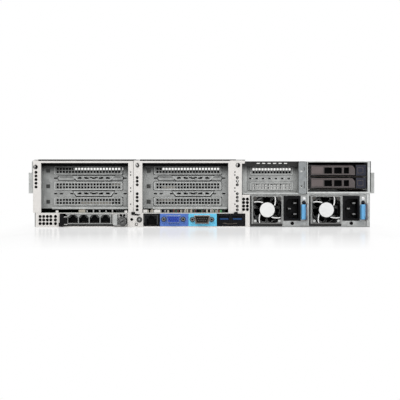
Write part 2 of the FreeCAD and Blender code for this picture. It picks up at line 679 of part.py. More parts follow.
# ---------------------------------------------------------------- rear drives
def rear_drive_cage():
    """The open box of the two rear bays, with a ledge for each carrier."""
    outer = block((BAY_LEFT_X, HALF_WIDTH - SHEET), deep(1.5, LOW_END), (44.3, LOW_TOP))
    inner = block((BAY_LEFT_X + SHEET, BAY_RIGHT_X), deep(0, LOW_END + 1), (BAY_FLOOR_Z, BAY_TOP_Z))
    rim_low = block((BAY_LEFT_X, HALF_WIDTH), deep(0, 1.5), (43.3, BAY_FLOOR_Z))
    rim_right = block((BAY_RIGHT_X, HALF_WIDTH), deep(0, 1.5), (43.3, LOW_TOP))
    rim_top = block((BAY_LEFT_X, HALF_WIDTH), deep(0, 1.5), (BAY_TOP_Z, LOW_TOP))
    ledges = []
    for z in CARRIER_Z:
        under = z - CARRIER_HEIGHT / 2
        for x in ((BAY_LEFT_X + SHEET, BAY_LEFT_X + 5), (BAY_RIGHT_X - 4, BAY_RIGHT_X)):
            ledges.append(block(x, deep(14, 140), (under - 1.4, under)))
    shelf = block((BAY_LEFT_X + SHEET, BAY_RIGHT_X), deep(140, 150), (64.3, 65.5))
    return join([cut(outer, [inner]), rim_low, rim_right, rim_top, shelf] + ledges)


LEVER_X = 143.8
LEVER_Y = 6.2


def rear_carrier(z):
    """A carrier with its drive, a pin for the lever and a release panel."""
    height = around(z, CARRIER_HEIGHT)
    drive = block((CARRIER_SPAN[0] + 2, CARRIER_SPAN[1] - 2), deep(14, 122), around(z, 14.4))
    rails = [block(x, deep(10, 118), height) for x in
             ((CARRIER_SPAN[0], CARRIER_SPAN[0] + 2.4), (CARRIER_SPAN[1] - 2.4, CARRIER_SPAN[1]))]
    bezel = block(CARRIER_SPAN, deep(9.4, 14), height)
    release = block((199.6, CARRIER_SPAN[1]), deep(2.0, 9.4), around(z, 13.6))
    button = block((201.8, 208.4), deep(1.2, 2.0), around(z, 6.0))
    ears = [block((LEVER_X - 2.2, LEVER_X + 2.2), deep(4.2, 9.4), around(z + side * 5.4, 1.0))
            for side in (-1, 1)]
    pin = rod_z(LEVER_X, REAR + LEVER_Y, 1.1, around(z, 11.8))
    return join([drive, bezel, release, button, pin] + rails + ears)


def rear_lever(z):
    """The carrier's lever: a plain grip, three windows and a slanted free end."""
    low = z - 6.1
    high = z + 6.1
    outline = [(141.2, low), (198.1, low), (198.1, high - 4.0), (194.8, high), (141.2, high)]
    plate = prism_xz(outline, deep(0.6, 2.8))
    windows = [block(span, deep(-1, 4), around(z - 0.2, 8.0))
               for span in ((158.5, 168.5), (171.2, 181.2), (183.7, 190.4))]
    grip = block((142.2, 156.6), deep(0.2, 0.6), around(z, 8.6))
    barrel = rod_z(LEVER_X, REAR + LEVER_Y, 2.0, around(z, 9.2))
    arm = block((LEVER_X - 2.0, LEVER_X + 2.0), deep(2.8, LEVER_Y), around(z, 9.2))
    bore = rod_z(LEVER_X, REAR + LEVER_Y, 1.1 + BORE_PLAY, around(z, 20))
    hook = block((194.7, 197.2), deep(2.8, 7.0), around(z - 1.5, 5.0))
    return cut(join([cut(plate, windows), grip, barrel, arm, hook]), [bore])


# ---------------------------------------------------------------- inside
def motherboard():
    """The main board: wide behind the fans, narrow beside the supplies."""
    outline = [(-211, REAR + 14), (58.5, REAR + 14), (58.5, REAR + 215), (211, REAR + 215),
               (211, 50), (-211, 50)]
    board = prism_xy(outline, BOARD_Z)
    room = block((-186, -94), deep(10, 130), (5, 9))
    return cut(board, [room])


def board_standoffs():
    """The spacers that carry the main board over the floor."""
    places = [(-196, REAR + 150), (-78, REAR + 60), (40, REAR + 60), (-196, 30), (0, 30), (196, 30),
              (196, REAR + 230), (0, REAR + 230)]
    posts = []
    for x, y in places:
        points = [(x + 3.2 * math.cos(math.radians(60 * i)), y + 3.2 * math.sin(math.radians(60 * i)))
                  for i in range(6)]
        posts.append(prism_xy(points, (SHEET, BOARD_Z[0])))
    return posts


def board_parts():
    """Chips, coils and supply sockets on the main board."""
    top = BOARD_Z[1]
    parts = [block(around(left + 37, 46), deep(198, 212), (SHEET, 15.0)) for left in PSU_LEFT_X]
    parts.append(block(around(UID_X, 7), deep(9, 20), (BOARD_Z[1], 13)))
    for i in range(8):
        x = -70 + 13.1 * i
        parts.append(block((x, x + 9.6), deep(28, 38), (top, 19.5 + 1.6 * (i % 3))))
    return parts


def memory_modules():
    """Upright memory sticks, a bank at each side of a processor."""
    banks = []
    for centre in (-161, -16, 55, 186):
        for i in range(3):
            x = centre - 9 + 9 * i
            banks.append(block((x - 0.8, x + 0.8), (-125, 7), (BOARD_Z[1], 41.0)))
    return banks


def heat_sink(x):
    """A finned block on a processor."""
    base = block(around(x, 84), (-115, 0), (BOARD_Z[1], 17.0))
    fins = [block(around(x - 40.5 + 9 * i, 1.4), (-115, 0), (17.0, 60.0)) for i in range(10)]
    return join([base] + fins)


def air_baffle():
    """The moulded duct over the processors, open to the fans and to the rear."""
    shell = block((-207, 207), (-132, 55), (BOARD_Z[1], 66.0))
    hollow = block((-205, 205), (-133, 56), (BOARD_Z[1] - 1, 64.0))
    rib = [block((-207, 207), (y, y + 2), (66, 68)) for y in (-120, -40, 40)]
    return join([cut(shell, [hollow])] + rib)


def system_fan_bore(x):
    """The air path of one fan."""
    return many_sided(x, SYSTEM_FAN_Z, SYSTEM_FAN_R + 1.6, 20, (FAN_WALL[0] - 1, FAN_WALL[1] + 1))


def fan_cage():
    """Four fan frames in one row, each with its motor mount on a bar."""
    wall = block((-209, 209), FAN_WALL, (SHEET, 84.5))
    body = cut(wall, [system_fan_bore(x) for x in SYSTEM_FAN_X])
    parts = [body]
    for x in SYSTEM_FAN_X:
        parts.append(hexagon(x, SYSTEM_FAN_Z, 15, (FAN_WALL[0], FAN_WALL[0] + 5)))
        parts.append(block(around(x, 79), (FAN_WALL[0], FAN_WALL[0] + 4), around(SYSTEM_FAN_Z, 2.4)))
    return join(parts)


def system_rotor(x):
    """One of the four large wheels, its blades flat and set at a slant."""
    y = (FAN_WALL[0] + 5, FAN_WALL[1] - 10)
    middle = (y[0] + y[1]) / 2
    blade = block(around(x, 1.6), around(middle, 27), (SYSTEM_FAN_Z + 14, SYSTEM_FAN_Z + 37))
    blade.rotate(V(x, middle, 0), V(0, 0, 1), 42)
    return join([many_sided(x, SYSTEM_FAN_Z, 17.0, 15, y)]
                + [turned_y(blade, x, SYSTEM_FAN_Z, 72 * i) for i in range(5)])


def front_bays():
    """The spaces for eight drives, four across and two high."""
    bays = []
    for column in range(4):
        centre = (column - 1.5) * DRIVE_PITCH
        for low, high in DRIVE_ROWS_Z:
            bays.append(block(around(centre, 104.0), (CAGE_REAR - 1, FRONT), (low, high + 0.4)))
    return bays


def front_drive_cage():
    """The front box: eight bays under a vented blank."""
    outer = block((-HALF_WIDTH + SHEET, HALF_WIDTH - SHEET), (CAGE_REAR, FRONT - 1), (SHEET, BODY_HEIGHT))
    upper = block((-213, 213), (CAGE_REAR - 1, FRONT - 2.4), (58.0, 85.2))
    slots = [block(around((i - 3.5) * 52, 43), (FRONT - 4, FRONT), around(z, 4))
             for i in range(8) for z in (66, 77)]
    return cut(outer, front_bays() + [upper] + slots)


def front_drive(column, row):
    """A carrier with its drive: rails, a vented bezel and the closed lever."""
    centre = (column - 1.5) * DRIVE_PITCH
    low, high = DRIVE_ROWS_Z[row]
    drive = block(around(centre, 101.6), (CAGE_REAR + 6, FRONT - 22), (low + 0.4, high - 0.4))
    rails = block(around(centre, 103.2), (FRONT - 40, FRONT - 18), (low, high))
    bezel = block(around(centre, 103.2), (FRONT - 18, FRONT + 2), (low, high))
    pocket = block((centre - 49, centre + 34), (FRONT - 8, FRONT + 3), (low + 3, high - 3))
    lever = block((centre - 49, centre + 33), (FRONT - 9, FRONT + 1), (low + 8.5, high - 8.5))
    release = block((centre + 37, centre + 49), (FRONT + 2, FRONT + 3), around((low + high) / 2, 9))
    return join([cut(join([drive, rails, bezel]), [pocket]), lever, release])


def drive_backplanes():
    """The boards that the drives plug into, front and rear."""
    front = block((-211, 211), (CAGE_REAR - 4, CAGE_REAR), (SHEET, 84))
    slots = [block(around((i - 3.5) * 52, 34), (CAGE_REAR - 6, CAGE_REAR + 1), (57, 66))
             for i in range(8)]
    rear = block((BAY_LEFT_X + 2, BAY_RIGHT_X - 1), deep(150, 152), (44.3, LOW_TOP))
    return [cut(front, slots), rear]


# ---------------------------------------------------------------- cover
COVER_REAR = REAR + 1.8
COVER_FRONT = CAGE_REAR - 0.4
LATCH_X = 34.0
LATCH_Y = (-40.0, 46.0)


def top_cover():
    """The lid, with a dished pocket for its latch and notches at the rear edge."""
    z = (WALL_TOP, BODY_HEIGHT)
    sheet = block((-HALF_WIDTH + 0.2, HALF_WIDTH - 0.2), (COVER_REAR, COVER_FRONT), z)
    dish = block((-LATCH_X - 3, LATCH_X + 3), (LATCH_Y[0] - 3, LATCH_Y[1] + 3), (z[1] - 9, z[1]))
    lips = [block(x, (REAR + 215, COVER_FRONT - 4), (WALL_TOP - 7, WALL_TOP)) for x in
            ((-HALF_WIDTH + SHEET + 0.2, -HALF_WIDTH + SHEET + 1.4),
             (HALF_WIDTH - SHEET - 1.4, HALF_WIDTH - SHEET - 0.2))]
    pocket = block((-LATCH_X - 2, LATCH_X + 2), (LATCH_Y[0] - 2, LATCH_Y[1] + 2), (z[1] - 8, z[1] + 1))
    rear_edge = (COVER_REAR - 1, COVER_REAR + 9)
    notches = [block(around(-82, 4.8), rear_edge, (80, 90)), block((44.5, 60), rear_edge, (80, 90)),
               block((-HALF_WIDTH, -210.8), rear_edge, (80, 90)),
               block((LOW_START_X, HALF_WIDTH + 1), (COVER_REAR - 1, REAR + LOW_END), (80, 90))]
    body = cut(join([sheet, dish] + lips), [pocket] + notches)
    pin = Part.makeCylinder(1.5, 2 * LATCH_X + 4, V(-LATCH_X - 2, LATCH_Y[1] - 4, 83.0), V(1, 0, 0))
    return join([body, pin])


def cover_latch():
    """The flip-up lever in the lid's pocket."""
    arm = block((-LATCH_X, LATCH_X), (LATCH_Y[0] + 1, LATCH_Y[1] - 4), (81.6, 86.6))
    barrel = Part.makeCylinder(3.4, 2 * LATCH_X, V(-LATCH_X, LATCH_Y[1] - 4, 83.0), V(1, 0, 0))
    bore = Part.makeCylinder(1.5 + BORE_PLAY, 3 * LATCH_X, V(-1.5 * LATCH_X, LATCH_Y[1] - 4, 83.0), V(1, 0, 0))
    finger = block((-14, 14), (LATCH_Y[0], LATCH_Y[0] + 16), (80, 88))
    return cut(join([arm, barrel]), [bore, finger])


# ---------------------------------------------------------------- write every node
def main():
    """Build each piece and write it to its own file."""
    os.makedirs("parts", exist_ok=True)
    nodes = {
        "chassis_tray": chassis_tray(),
        "rear_panel": rear_panel(),
        "divider_bracket": divider_bracket(),
        "inner_rails": [inner_rail(), mirrored(inner_rail())],
        "rack_ears": rack_ears(),
        "riser_1_frame": riser_1_frame(),
        "riser_2_frame": riser_2_frame(),
        "riser_1_cage": riser_cage(WINDOW_1, SLOT_Z, PANEL_1, -197.4),
        "riser_2_cage": riser_cage(WINDOW_2, SLOT_Z, PANEL_2, -69.3),
        "riser_3_cage": riser_3_cage(),
        "slot_covers": slot_covers(),
        "riser_cards": riser_cards(),
        "management_port": management_port(),
        "video_port": video_port(),
        "serial_port": serial_port(),
        "usb_ports": usb_ports(),
        "uid_button": uid_button(),
        "power_button": power_button(),
        "nic_faceplate": nic_faceplate(),
        "nic_jacks": nic_jacks(),
        "nic_board": nic_board(),
        "nic_thumbscrew": nic_thumbscrew(),
        "nic_lever": nic_lever(),
        "psu_cage": psu_cage(),
        "rear_drive_cage": rear_drive_cage(),
        "motherboard": [motherboard()] + board_parts(),
        "memory_modules": memory_modules(),
        "heat_sinks": [heat_sink(-89), heat_sink(124)],
        "air_baffle": air_baffle(),
        "fan_cage": fan_cage(),
        "front_drive_cage": front_drive_cage(),
        "drive_backplanes": drive_backplanes(),
        "top_cover": top_cover(),
        "cover_latch": cover_latch(),
    }
    for number, left in enumerate(PSU_LEFT_X, start=1):
        nodes["psu_%d_case" % number] = psu_case(left)
        nodes["psu_%d_fan_frame" % number] = psu_fan_frame(left)
        nodes["psu_%d_rotor" % number] = psu_rotor(left)
        nodes["psu_%d_inlet" % number] = psu_inlet(left)
        nodes["psu_%d_latch" % number] = psu_latch(left)
    for number, z in enumerate(CARRIER_Z, start=1):
        nodes["rear_drive_%d" % number] = rear_carrier(z)
        nodes["rear_lever_%d" % number] = rear_lever(z)
    for number, x in enumerate(SYSTEM_FAN_X, start=1):
        nodes["system_rotor_%d" % number] = system_rotor(x)
    for column in range(4):
        for row in range(2):
            nodes["front_drive_%d" % (2 * column + row + 1)] = front_drive(column, row)
    for name, shape in nodes.items():
        save(name, shape)


main()
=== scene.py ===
import math
import random

import bmesh
import bpy
from bpy.props import FloatProperty, FloatVectorProperty, IntProperty, PointerProperty
from mathutils import Matrix, Vector
from mathutils.geometry import tessellate_polygon


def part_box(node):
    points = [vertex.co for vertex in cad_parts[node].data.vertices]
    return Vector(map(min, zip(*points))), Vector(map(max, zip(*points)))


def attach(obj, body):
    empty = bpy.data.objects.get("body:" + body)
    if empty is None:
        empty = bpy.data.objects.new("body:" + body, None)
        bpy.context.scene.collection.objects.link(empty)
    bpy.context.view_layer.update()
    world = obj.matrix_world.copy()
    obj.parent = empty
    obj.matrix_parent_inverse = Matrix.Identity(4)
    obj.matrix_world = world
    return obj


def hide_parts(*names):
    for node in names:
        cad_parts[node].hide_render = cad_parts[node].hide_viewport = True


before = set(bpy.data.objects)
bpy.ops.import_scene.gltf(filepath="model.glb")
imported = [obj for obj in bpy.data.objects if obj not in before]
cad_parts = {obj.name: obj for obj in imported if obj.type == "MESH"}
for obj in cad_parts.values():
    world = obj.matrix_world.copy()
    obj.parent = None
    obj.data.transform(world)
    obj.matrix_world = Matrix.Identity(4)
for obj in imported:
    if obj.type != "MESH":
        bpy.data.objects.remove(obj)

bl_info = {
    "name": "Rack Server Looks",
    "version": (1, 0, 0),
    "blender": (4, 5, 0),
    "location": "3D View > Sidebar > Rack Server",
    "description": "Finishes, fine pieces and stage for a two-unit rack server",
    "category": "Object",
}

MM = 0.001


# ------------------------------------------------------------------ places, from the frame
def low(node):
    """Lowest corner of a CAD node, in millimetres."""
    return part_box(node)[0] / MM


def high(node):
    """Highest corner of a CAD node, in millimetres."""
    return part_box(node)[1] / MM


def middle(node, axis):
    """Centre of a CAD node along one axis, in millimetres."""
    return (getattr(low(node), axis) + getattr(high(node), axis)) / 2


REAR = low("riser_1_frame").y
FRONT = -REAR
HALF_WIDTH = high("chassis_tray").x
SHELF = high("video_port").z + 1.0
FRAME_TOP = high("riser_1_frame").z
SLOT_PITCH = 20.32                 # between expansion slots
HOLE_ROWS = 3.9                    # between the two rows of holes of a cover
JACK_PITCH = 13.97                 # between ganged jacks


def deep(*distances):
    """Depths in millimetres, counted inwards from the rear face."""
    return tuple(REAR + distance for distance in distances)


# ------------------------------------------------------------------ properties
def colour_property(name, description, default):
    """A colour that the user may change."""
    return FloatVectorProperty(name=name, description=description, subtype="COLOR", size=3,
                               min=0.0, max=1.0, default=default)


class ServerColours(bpy.types.PropertyGroup):
    """Colours of the server's finishes."""
    white: colour_property("White coat", "Powder coat of the riser frames", (0.82, 0.795, 0.765))
    zinc: colour_property("Zinc", "Galvanised sheet", (0.365, 0.373, 0.366))
    dark: colour_property("Dark steel", "Coated dark sheet", (0.030, 0.030, 0.034))
    black: colour_property("Black plastic", "Moulded black parts", (0.0045, 0.0045, 0.0055))
    lever: colour_property("Lever grey", "Carrier levers", (0.070, 0.057, 0.056))
    latch: colour_property("Latch blue", "Supply latch tabs", (0.185, 0.56, 0.98))
    royal: colour_property("Video blue", "Plate round the video port", (0.095, 0.215, 0.64))
    sky: colour_property("Serial blue", "Plate round the serial port", (0.17, 0.70, 1.0))
    board: colour_property("Board green", "Circuit boards", (0.02, 0.085, 0.05))
    nickel: colour_property("Nickel", "Plated shells and screws", (0.42, 0.415, 0.405))
    hub: colour_property("Hub white", "Bare disc on the fan hubs", (0.93, 0.93, 0.92))


class ServerSizes(bpy.types.PropertyGroup):
    """Sizes of the fine pieces."""
    hole: FloatProperty(name="Perforation", description="Side of a square slot-cover hole",
                        default=2.65 * MM, min=1 * MM, max=4 * MM, unit="LENGTH")
    hole_pitch: FloatProperty(name="Hole pitch", description="Distance between hole columns",
                              default=4.02 * MM, min=3 * MM, max=8 * MM, unit="LENGTH")
    edge: FloatProperty(name="Edge", description="Width of the rounded sheet edges",
                        default=0.25 * MM, min=0.05 * MM, max=1 * MM, unit="LENGTH")
    screw: FloatProperty(name="Screw head", description="Radius of a frame screw's head",
                         default=2.9 * MM, min=1 * MM, max=5 * MM, unit="LENGTH")


class StageSettings(bpy.types.PropertyGroup):
    """Camera and lights."""
    distance: FloatProperty(name="Camera distance", description="From the rear face to the camera",
                            default=1.35, min=0.5, max=5, unit="LENGTH")
    view_width: FloatProperty(name="View width", description="Width of the view at the rear face",
                              default=0.51624, min=0.2, max=2, unit="LENGTH")
    camera_height: FloatProperty(name="Camera height", description="Height of the camera",
                                 default=0.050, min=0.0, max=2, unit="LENGTH")
    key: FloatProperty(name="Key light", description="Power of the large light", default=7.0,
                       min=0, max=200, subtype="POWER")
    ambient: FloatProperty(name="Soft light", description="Light from all round", default=0.42,
                           min=0, max=2)
    seed: IntProperty(name="Seed", description="Start of the small random differences", default=7)


def colours():
    """The colour settings."""
    return bpy.context.scene.server_colours


def sizes():
    """The size settings."""
    return bpy.context.scene.server_sizes


# ------------------------------------------------------------------ shader groups
SURFACE_OUTPUTS = [("Colour", "NodeSocketColor"), ("Roughness", "NodeSocketFloat"),
                   ("Height", "NodeSocketFloat")]


def group_tree(name, inputs, outputs):
    """A new shader node group with named sockets, and its two end nodes."""
    tree = bpy.data.node_groups.new(name, "ShaderNodeTree")
    for label, kind, default in inputs:
        socket = tree.interface.new_socket(label, in_out="INPUT", socket_type=kind)
        socket.default_value = default
    for label, kind in outputs:
        tree.interface.new_socket(label, in_out="OUTPUT", socket_type=kind)
    return tree, tree.nodes.new("NodeGroupInput"), tree.nodes.new("NodeGroupOutput")


def add(tree, kind, **settings):
    """A node with its settings and the values of its input sockets."""
    node = tree.nodes.new(kind)
    values = settings.pop("values", {})
    for key, value in settings.items():
        setattr(node, key, value)
    for key, value in values.items():
        node.inputs[key].default_value = value
    return node


def link(tree, source, target):
    """A link between two sockets."""
    tree.links.new(source, target)


def noise(tree, vector, scale, detail=3.0, rough=0.5):
    """A noise texture on a vector."""
    node = add(tree, "ShaderNodeTexNoise", values={"Scale": scale, "Detail": detail, "Roughness": rough})
    link(tree, vector, node.inputs["Vector"])
    return node


def remap(tree, value, out_low, out_high, in_low=0.0, in_high=1.0):
    """A value carried from one range to another."""
    node = add(tree, "ShaderNodeMapRange", values={
        "From Min": in_low, "From Max": in_high, "To Min": out_low, "To Max": out_high})
    link(tree, value, node.inputs["Value"])
    return node.outputs["Result"]


def scaled_colour(tree, colour, factor):
    """A colour made lighter or darker by a factor."""
    node = add(tree, "ShaderNodeMix", data_type="RGBA", blend_type="MULTIPLY", clamp_result=False)
    node.inputs[0].default_value = 1.0
    link(tree, colour, node.inputs[6])
    link(tree, factor, node.inputs[7])
    return node.outputs[2]


def varied_colour(tree, start, end, tone, strength):
    """Sends the colour on, lighter or darker by a tone from -1 to 1 times a strength."""
    spread = add(tree, "ShaderNodeMath", operation="MULTIPLY_ADD")
    link(tree, tone, spread.inputs[0])
    link(tree, start.outputs[strength], spread.inputs[1])
    spread.inputs[2].default_value = 1.0
    link(tree, scaled_colour(tree, start.outputs["Colour"], spread.outputs[0]), end.inputs["Colour"])


def coat_group():
    """Powder coat or moulded skin: slow mottle in the colour and a fine orange-peel height."""
    tree, start, end = group_tree("Coat Grain", [
        ("Colour", "NodeSocketColor", (1, 1, 1, 1)), ("Vector", "NodeSocketVector", (0, 0, 0)),
        ("Mottle", "NodeSocketFloat", 0.06), ("Grain Scale", "NodeSocketFloat", 2200.0),
        ("Roughness", "NodeSocketFloat", 0.5)],
        SURFACE_OUTPUTS)
    slow = noise(tree, start.outputs["Vector"], 24.0, 5.0, 0.6)
    fine = add(tree, "ShaderNodeTexNoise", values={"Detail": 2.0})
    link(tree, start.outputs["Vector"], fine.inputs["Vector"])
    link(tree, start.outputs["Grain Scale"], fine.inputs["Scale"])
    varied_colour(tree, start, end, remap(tree, slow.outputs["Fac"], -1.0, 1.0, 0.3, 0.7), "Mottle")
    rough = add(tree, "ShaderNodeMath", operation="MULTIPLY_ADD")
    link(tree, remap(tree, fine.outputs["Fac"], -0.06, 0.06, 0.3, 0.7), rough.inputs[0])
    rough.inputs[1].default_value = 1.0
    link(tree, start.outputs["Roughness"], rough.inputs[2])
    link(tree, rough.outputs[0], end.inputs["Roughness"])
    link(tree, fine.outputs["Fac"], end.inputs["Height"])
    return tree


def spangle_group():
    """Galvanised sheet: crystal patches of slightly different brightness and shine."""
    tree, start, end = group_tree("Zinc Spangle", [
        ("Colour", "NodeSocketColor", (1, 1, 1, 1)), ("Vector", "NodeSocketVector", (0, 0, 0)),
        ("Contrast", "NodeSocketFloat", 0.16), ("Scale", "NodeSocketFloat", 190.0)],
        SURFACE_OUTPUTS)
    warp = noise(tree, start.outputs["Vector"], 90.0, 2.0)
    bent = add(tree, "ShaderNodeVectorMath", operation="MULTIPLY_ADD")
    link(tree, warp.outputs["Color"], bent.inputs[0])
    bent.inputs[1].default_value = (0.004, 0.004, 0.004)
    link(tree, start.outputs["Vector"], bent.inputs[2])
    cells = add(tree, "ShaderNodeTexVoronoi")
    link(tree, bent.outputs[0], cells.inputs["Vector"])
    link(tree, start.outputs["Scale"], cells.inputs["Scale"])
    tone = add(tree, "ShaderNodeSeparateColor")
    link(tree, cells.outputs["Color"], tone.inputs[0])
    varied_colour(tree, start, end, remap(tree, tone.outputs[0], -1.0, 1.0), "Contrast")
    link(tree, remap(tree, tone.outputs[1], 0.30, 0.48), end.inputs["Roughness"])
    link(tree, tone.outputs[2], end.inputs["Height"])
    return tree


def brushed_group():
    """Metal brushed along X: long fine streaks in colour, shine and height."""
    tree, start, end = group_tree("Brushed Streaks", [
        ("Colour", "NodeSocketColor", (1, 1, 1, 1)), ("Vector", "NodeSocketVector", (0, 0, 0)),
        ("Contrast", "NodeSocketFloat", 0.12)],
        SURFACE_OUTPUTS)
    stretch = add(tree, "ShaderNodeVectorMath", operation="MULTIPLY")
    link(tree, start.outputs["Vector"], stretch.inputs[0])
    stretch.inputs[1].default_value = (30.0, 900.0, 900.0)
    streak = noise(tree, stretch.outputs[0], 1.0, 4.0, 0.6)
    varied_colour(tree, start, end, remap(tree, streak.outputs["Fac"], -1.0, 1.0, 0.25, 0.75), "Contrast")
    link(tree, remap(tree, streak.outputs["Fac"], 0.24, 0.42), end.inputs["Roughness"])
    link(tree, streak.outputs["Fac"], end.inputs["Height"])
    return tree


def circuit_group():
    """Circuit board: solder mask with paler copper tracks and small pads."""
    tree, start, end = group_tree("Circuit Tracks", [
        ("Colour", "NodeSocketColor", (1, 1, 1, 1)), ("Vector", "NodeSocketVector", (0, 0, 0)),
        ("Track Scale", "NodeSocketFloat", 260.0)],
        SURFACE_OUTPUTS)
    grid = add(tree, "ShaderNodeTexBrick", offset=0.5, values={
        "Color1": (1, 1, 1, 1), "Color2": (0.72, 0.72, 0.72, 1), "Mortar": (2.1, 2.3, 1.7, 1),
        "Mortar Size": 0.035, "Brick Width": 1.7, "Row Height": 0.35})
    link(tree, start.outputs["Vector"], grid.inputs["Vector"])
    link(tree, start.outputs["Track Scale"], grid.inputs["Scale"])
    link(tree, scaled_colour(tree, start.outputs["Colour"], grid.outputs["Color"]), end.inputs["Colour"])
    link(tree, remap(tree, grid.outputs["Fac"], 0.36, 0.30), end.inputs["Roughness"])
    link(tree, grid.outputs["Fac"], end.inputs["Height"])
    return tree


def wear_group():
    """Rubbed edges: a mask where the surface turns sharply, broken up by noise."""
    tree, start, end = group_tree("Edge Rub", [
        ("Vector", "NodeSocketVector", (0, 0, 0)), ("Radius", "NodeSocketFloat", 0.0006),
        ("Amount", "NodeSocketFloat", 0.5)],
        [("Mask", "NodeSocketFloat"), ("Normal", "NodeSocketVector")])
    bevel = add(tree, "ShaderNodeBevel", samples=4)
    link(tree, start.outputs["Radius"], bevel.inputs["Radius"])
    flat = add(tree, "ShaderNodeNewGeometry")
    match = add(tree, "ShaderNodeVectorMath", operation="DOT_PRODUCT")
    link(tree, bevel.outputs["Normal"], match.inputs[0])
    link(tree, flat.outputs["Normal"], match.inputs[1])
    edge = remap(tree, match.outputs["Value"], 1.0, 0.0, 0.72, 0.995)
    broken = noise(tree, start.outputs["Vector"], 420.0, 3.0)
    kept = add(tree, "ShaderNodeMath", operation="MULTIPLY")
    link(tree, edge, kept.inputs[0])
    link(tree, remap(tree, broken.outputs["Fac"], 0.2, 1.0, 0.35, 0.6), kept.inputs[1])
    amount = add(tree, "ShaderNodeMath", operation="MULTIPLY", use_clamp=True)
    link(tree, kept.outputs[0], amount.inputs[0])
    link(tree, start.outputs["Amount"], amount.inputs[1])
    link(tree, amount.outputs[0], end.inputs["Mask"])
    link(tree, bevel.outputs["Normal"], end.inputs["Normal"])
    return tree


def lid_shadow_group():
    """The soft shade under the lid: a colour that darkens towards the top of a recess."""
    tree, start, end = group_tree("Lid Shadow", [
        ("Colour", "NodeSocketColor", (1, 1, 1, 1)), ("Vector", "NodeSocketVector", (0, 0, 0)),
        ("Depth", "NodeSocketFloat", 0.06)],
        [("Colour", "NodeSocketColor")])
    uneven = noise(tree, start.outputs["Vector"], 60.0, 3.0)
    parts = add(tree, "ShaderNodeSeparateXYZ")
    link(tree, start.outputs["Vector"], parts.inputs[0])
    height = add(tree, "ShaderNodeMath", operation="ADD")
    link(tree, parts.outputs["Z"], height.inputs[0])
    link(tree, remap(tree, uneven.outputs["Fac"], -0.003, 0.003), height.inputs[1])
    ramp = add(tree, "ShaderNodeMapRange", interpolation_type="SMOOTHSTEP", values={
        "From Min": 0.066, "From Max": 0.081, "To Min": 1.0})
    link(tree, height.outputs[0], ramp.inputs["Value"])
    link(tree, start.outputs["Depth"], ramp.inputs["To Max"])
    link(tree, scaled_colour(tree, start.outputs["Colour"], ramp.outputs["Result"]), end.inputs["Colour"])
    return tree


GROUPS = {}
GROUP_MAKERS = {
    "coat": coat_group, "spangle": spangle_group, "brushed": brushed_group,
    "circuit": circuit_group, "wear": wear_group, "lid shadow": lid_shadow_group,
}


def shader_group(kind):
    """The node group of one effect, built once."""
    if kind not in GROUPS:
        GROUPS[kind] = GROUP_MAKERS[kind]()
    return GROUPS[kind]


# ------------------------------------------------------------------ materials
def finish(name, kind, colour, metallic=0.0, roughness=0.5, bump=0.1, wear=0.4, wear_colour=None,
           coat=0.0, edge_radius=0.0005, specular=0.5, lid_shadow=None, **effect):
    """A material: one effect group, rubbed edges and a bump, on a Principled surface."""
    material = bpy.data.materials.new(name)
    material.use_nodes = True
    tree = material.node_tree
    surface = tree.nodes["Principled BSDF"]
    place = add(tree, "ShaderNodeTexCoord")
    effect_node = add(tree, "ShaderNodeGroup", node_tree=shader_group(kind))
    effect_node.inputs["Colour"].default_value = (*colour, 1.0)
    link(tree, place.outputs["Object"], effect_node.inputs["Vector"])
    for key, value in effect.items():
        effect_node.inputs[key.replace("_", " ").title()].default_value = value
    if kind == "coat":
        effect_node.inputs["Roughness"].default_value = roughness
    rub = add(tree, "ShaderNodeGroup", node_tree=shader_group("wear"),
              values={"Radius": edge_radius, "Amount": wear})
    link(tree, place.outputs["Object"], rub.inputs["Vector"])
    worn = add(tree, "ShaderNodeMix", data_type="RGBA")
    link(tree, rub.outputs["Mask"], worn.inputs[0])
    link(tree, effect_node.outputs["Colour"], worn.inputs[6])
    paler = wear_colour or tuple(min(1.0, part * 1.6 + 0.04) for part in colour)
    worn.inputs[7].default_value = (*paler, 1.0)
    painted = worn.outputs[2]
    if lid_shadow is not None:
        shaded = add(tree, "ShaderNodeGroup", node_tree=shader_group("lid shadow"),
                     values={"Depth": lid_shadow})
        link(tree, place.outputs["Object"], shaded.inputs["Vector"])
        link(tree, painted, shaded.inputs["Colour"])
        painted = shaded.outputs["Colour"]
    link(tree, painted, surface.inputs["Base Color"])
    surface.inputs["Specular IOR Level"].default_value = specular
    link(tree, effect_node.outputs["Roughness"], surface.inputs["Roughness"])
    surface.inputs["Metallic"].default_value = metallic
    surface.inputs["Coat Weight"].default_value = coat
    relief = add(tree, "ShaderNodeBump", values={"Strength": bump, "Distance": 0.0002})
    link(tree, effect_node.outputs["Height"], relief.inputs["Height"])
    link(tree, rub.outputs["Normal"], relief.inputs["Normal"])
    link(tree, relief.outputs["Normal"], surface.inputs["Normal"])
    return material


def white_coat():
    """Warm white powder coat on sheet steel."""
    return finish("white powder coat", "coat", colours().white, roughness=0.42, bump=0.12,
                  wear=0.25, mottle=0.035, grain_scale=1500.0)


def zinc():
    """Galvanised sheet with its spangle."""
    return finish("galvanised zinc", "spangle", colours().zinc, metallic=0.5, bump=0.05,
                  wear=0.4, wear_colour=(0.58, 0.59, 0.58), contrast=0.12, scale=170.0)


def recess_zinc():
    """Galvanised sheet inside the risers, in the lid's shade at the top."""
    return finish("recess zinc", "spangle", colours().zinc, metallic=0.35, bump=0.05, wear=0.4,
                  wear_colour=(0.58, 0.59, 0.58), lid_shadow=0.04, contrast=0.14, scale=170.0)


def bright_zinc():
    """Newer, paler galvanised sheet, also laid on edges as a painted highlight."""
    return finish("bright zinc", "spangle", tuple(part * 1.45 for part in colours().zinc),
                  metallic=0.4, bump=0.05, wear=0.4, wear_colour=(0.74, 0.74, 0.73), contrast=0.09,
                  scale=220.0)


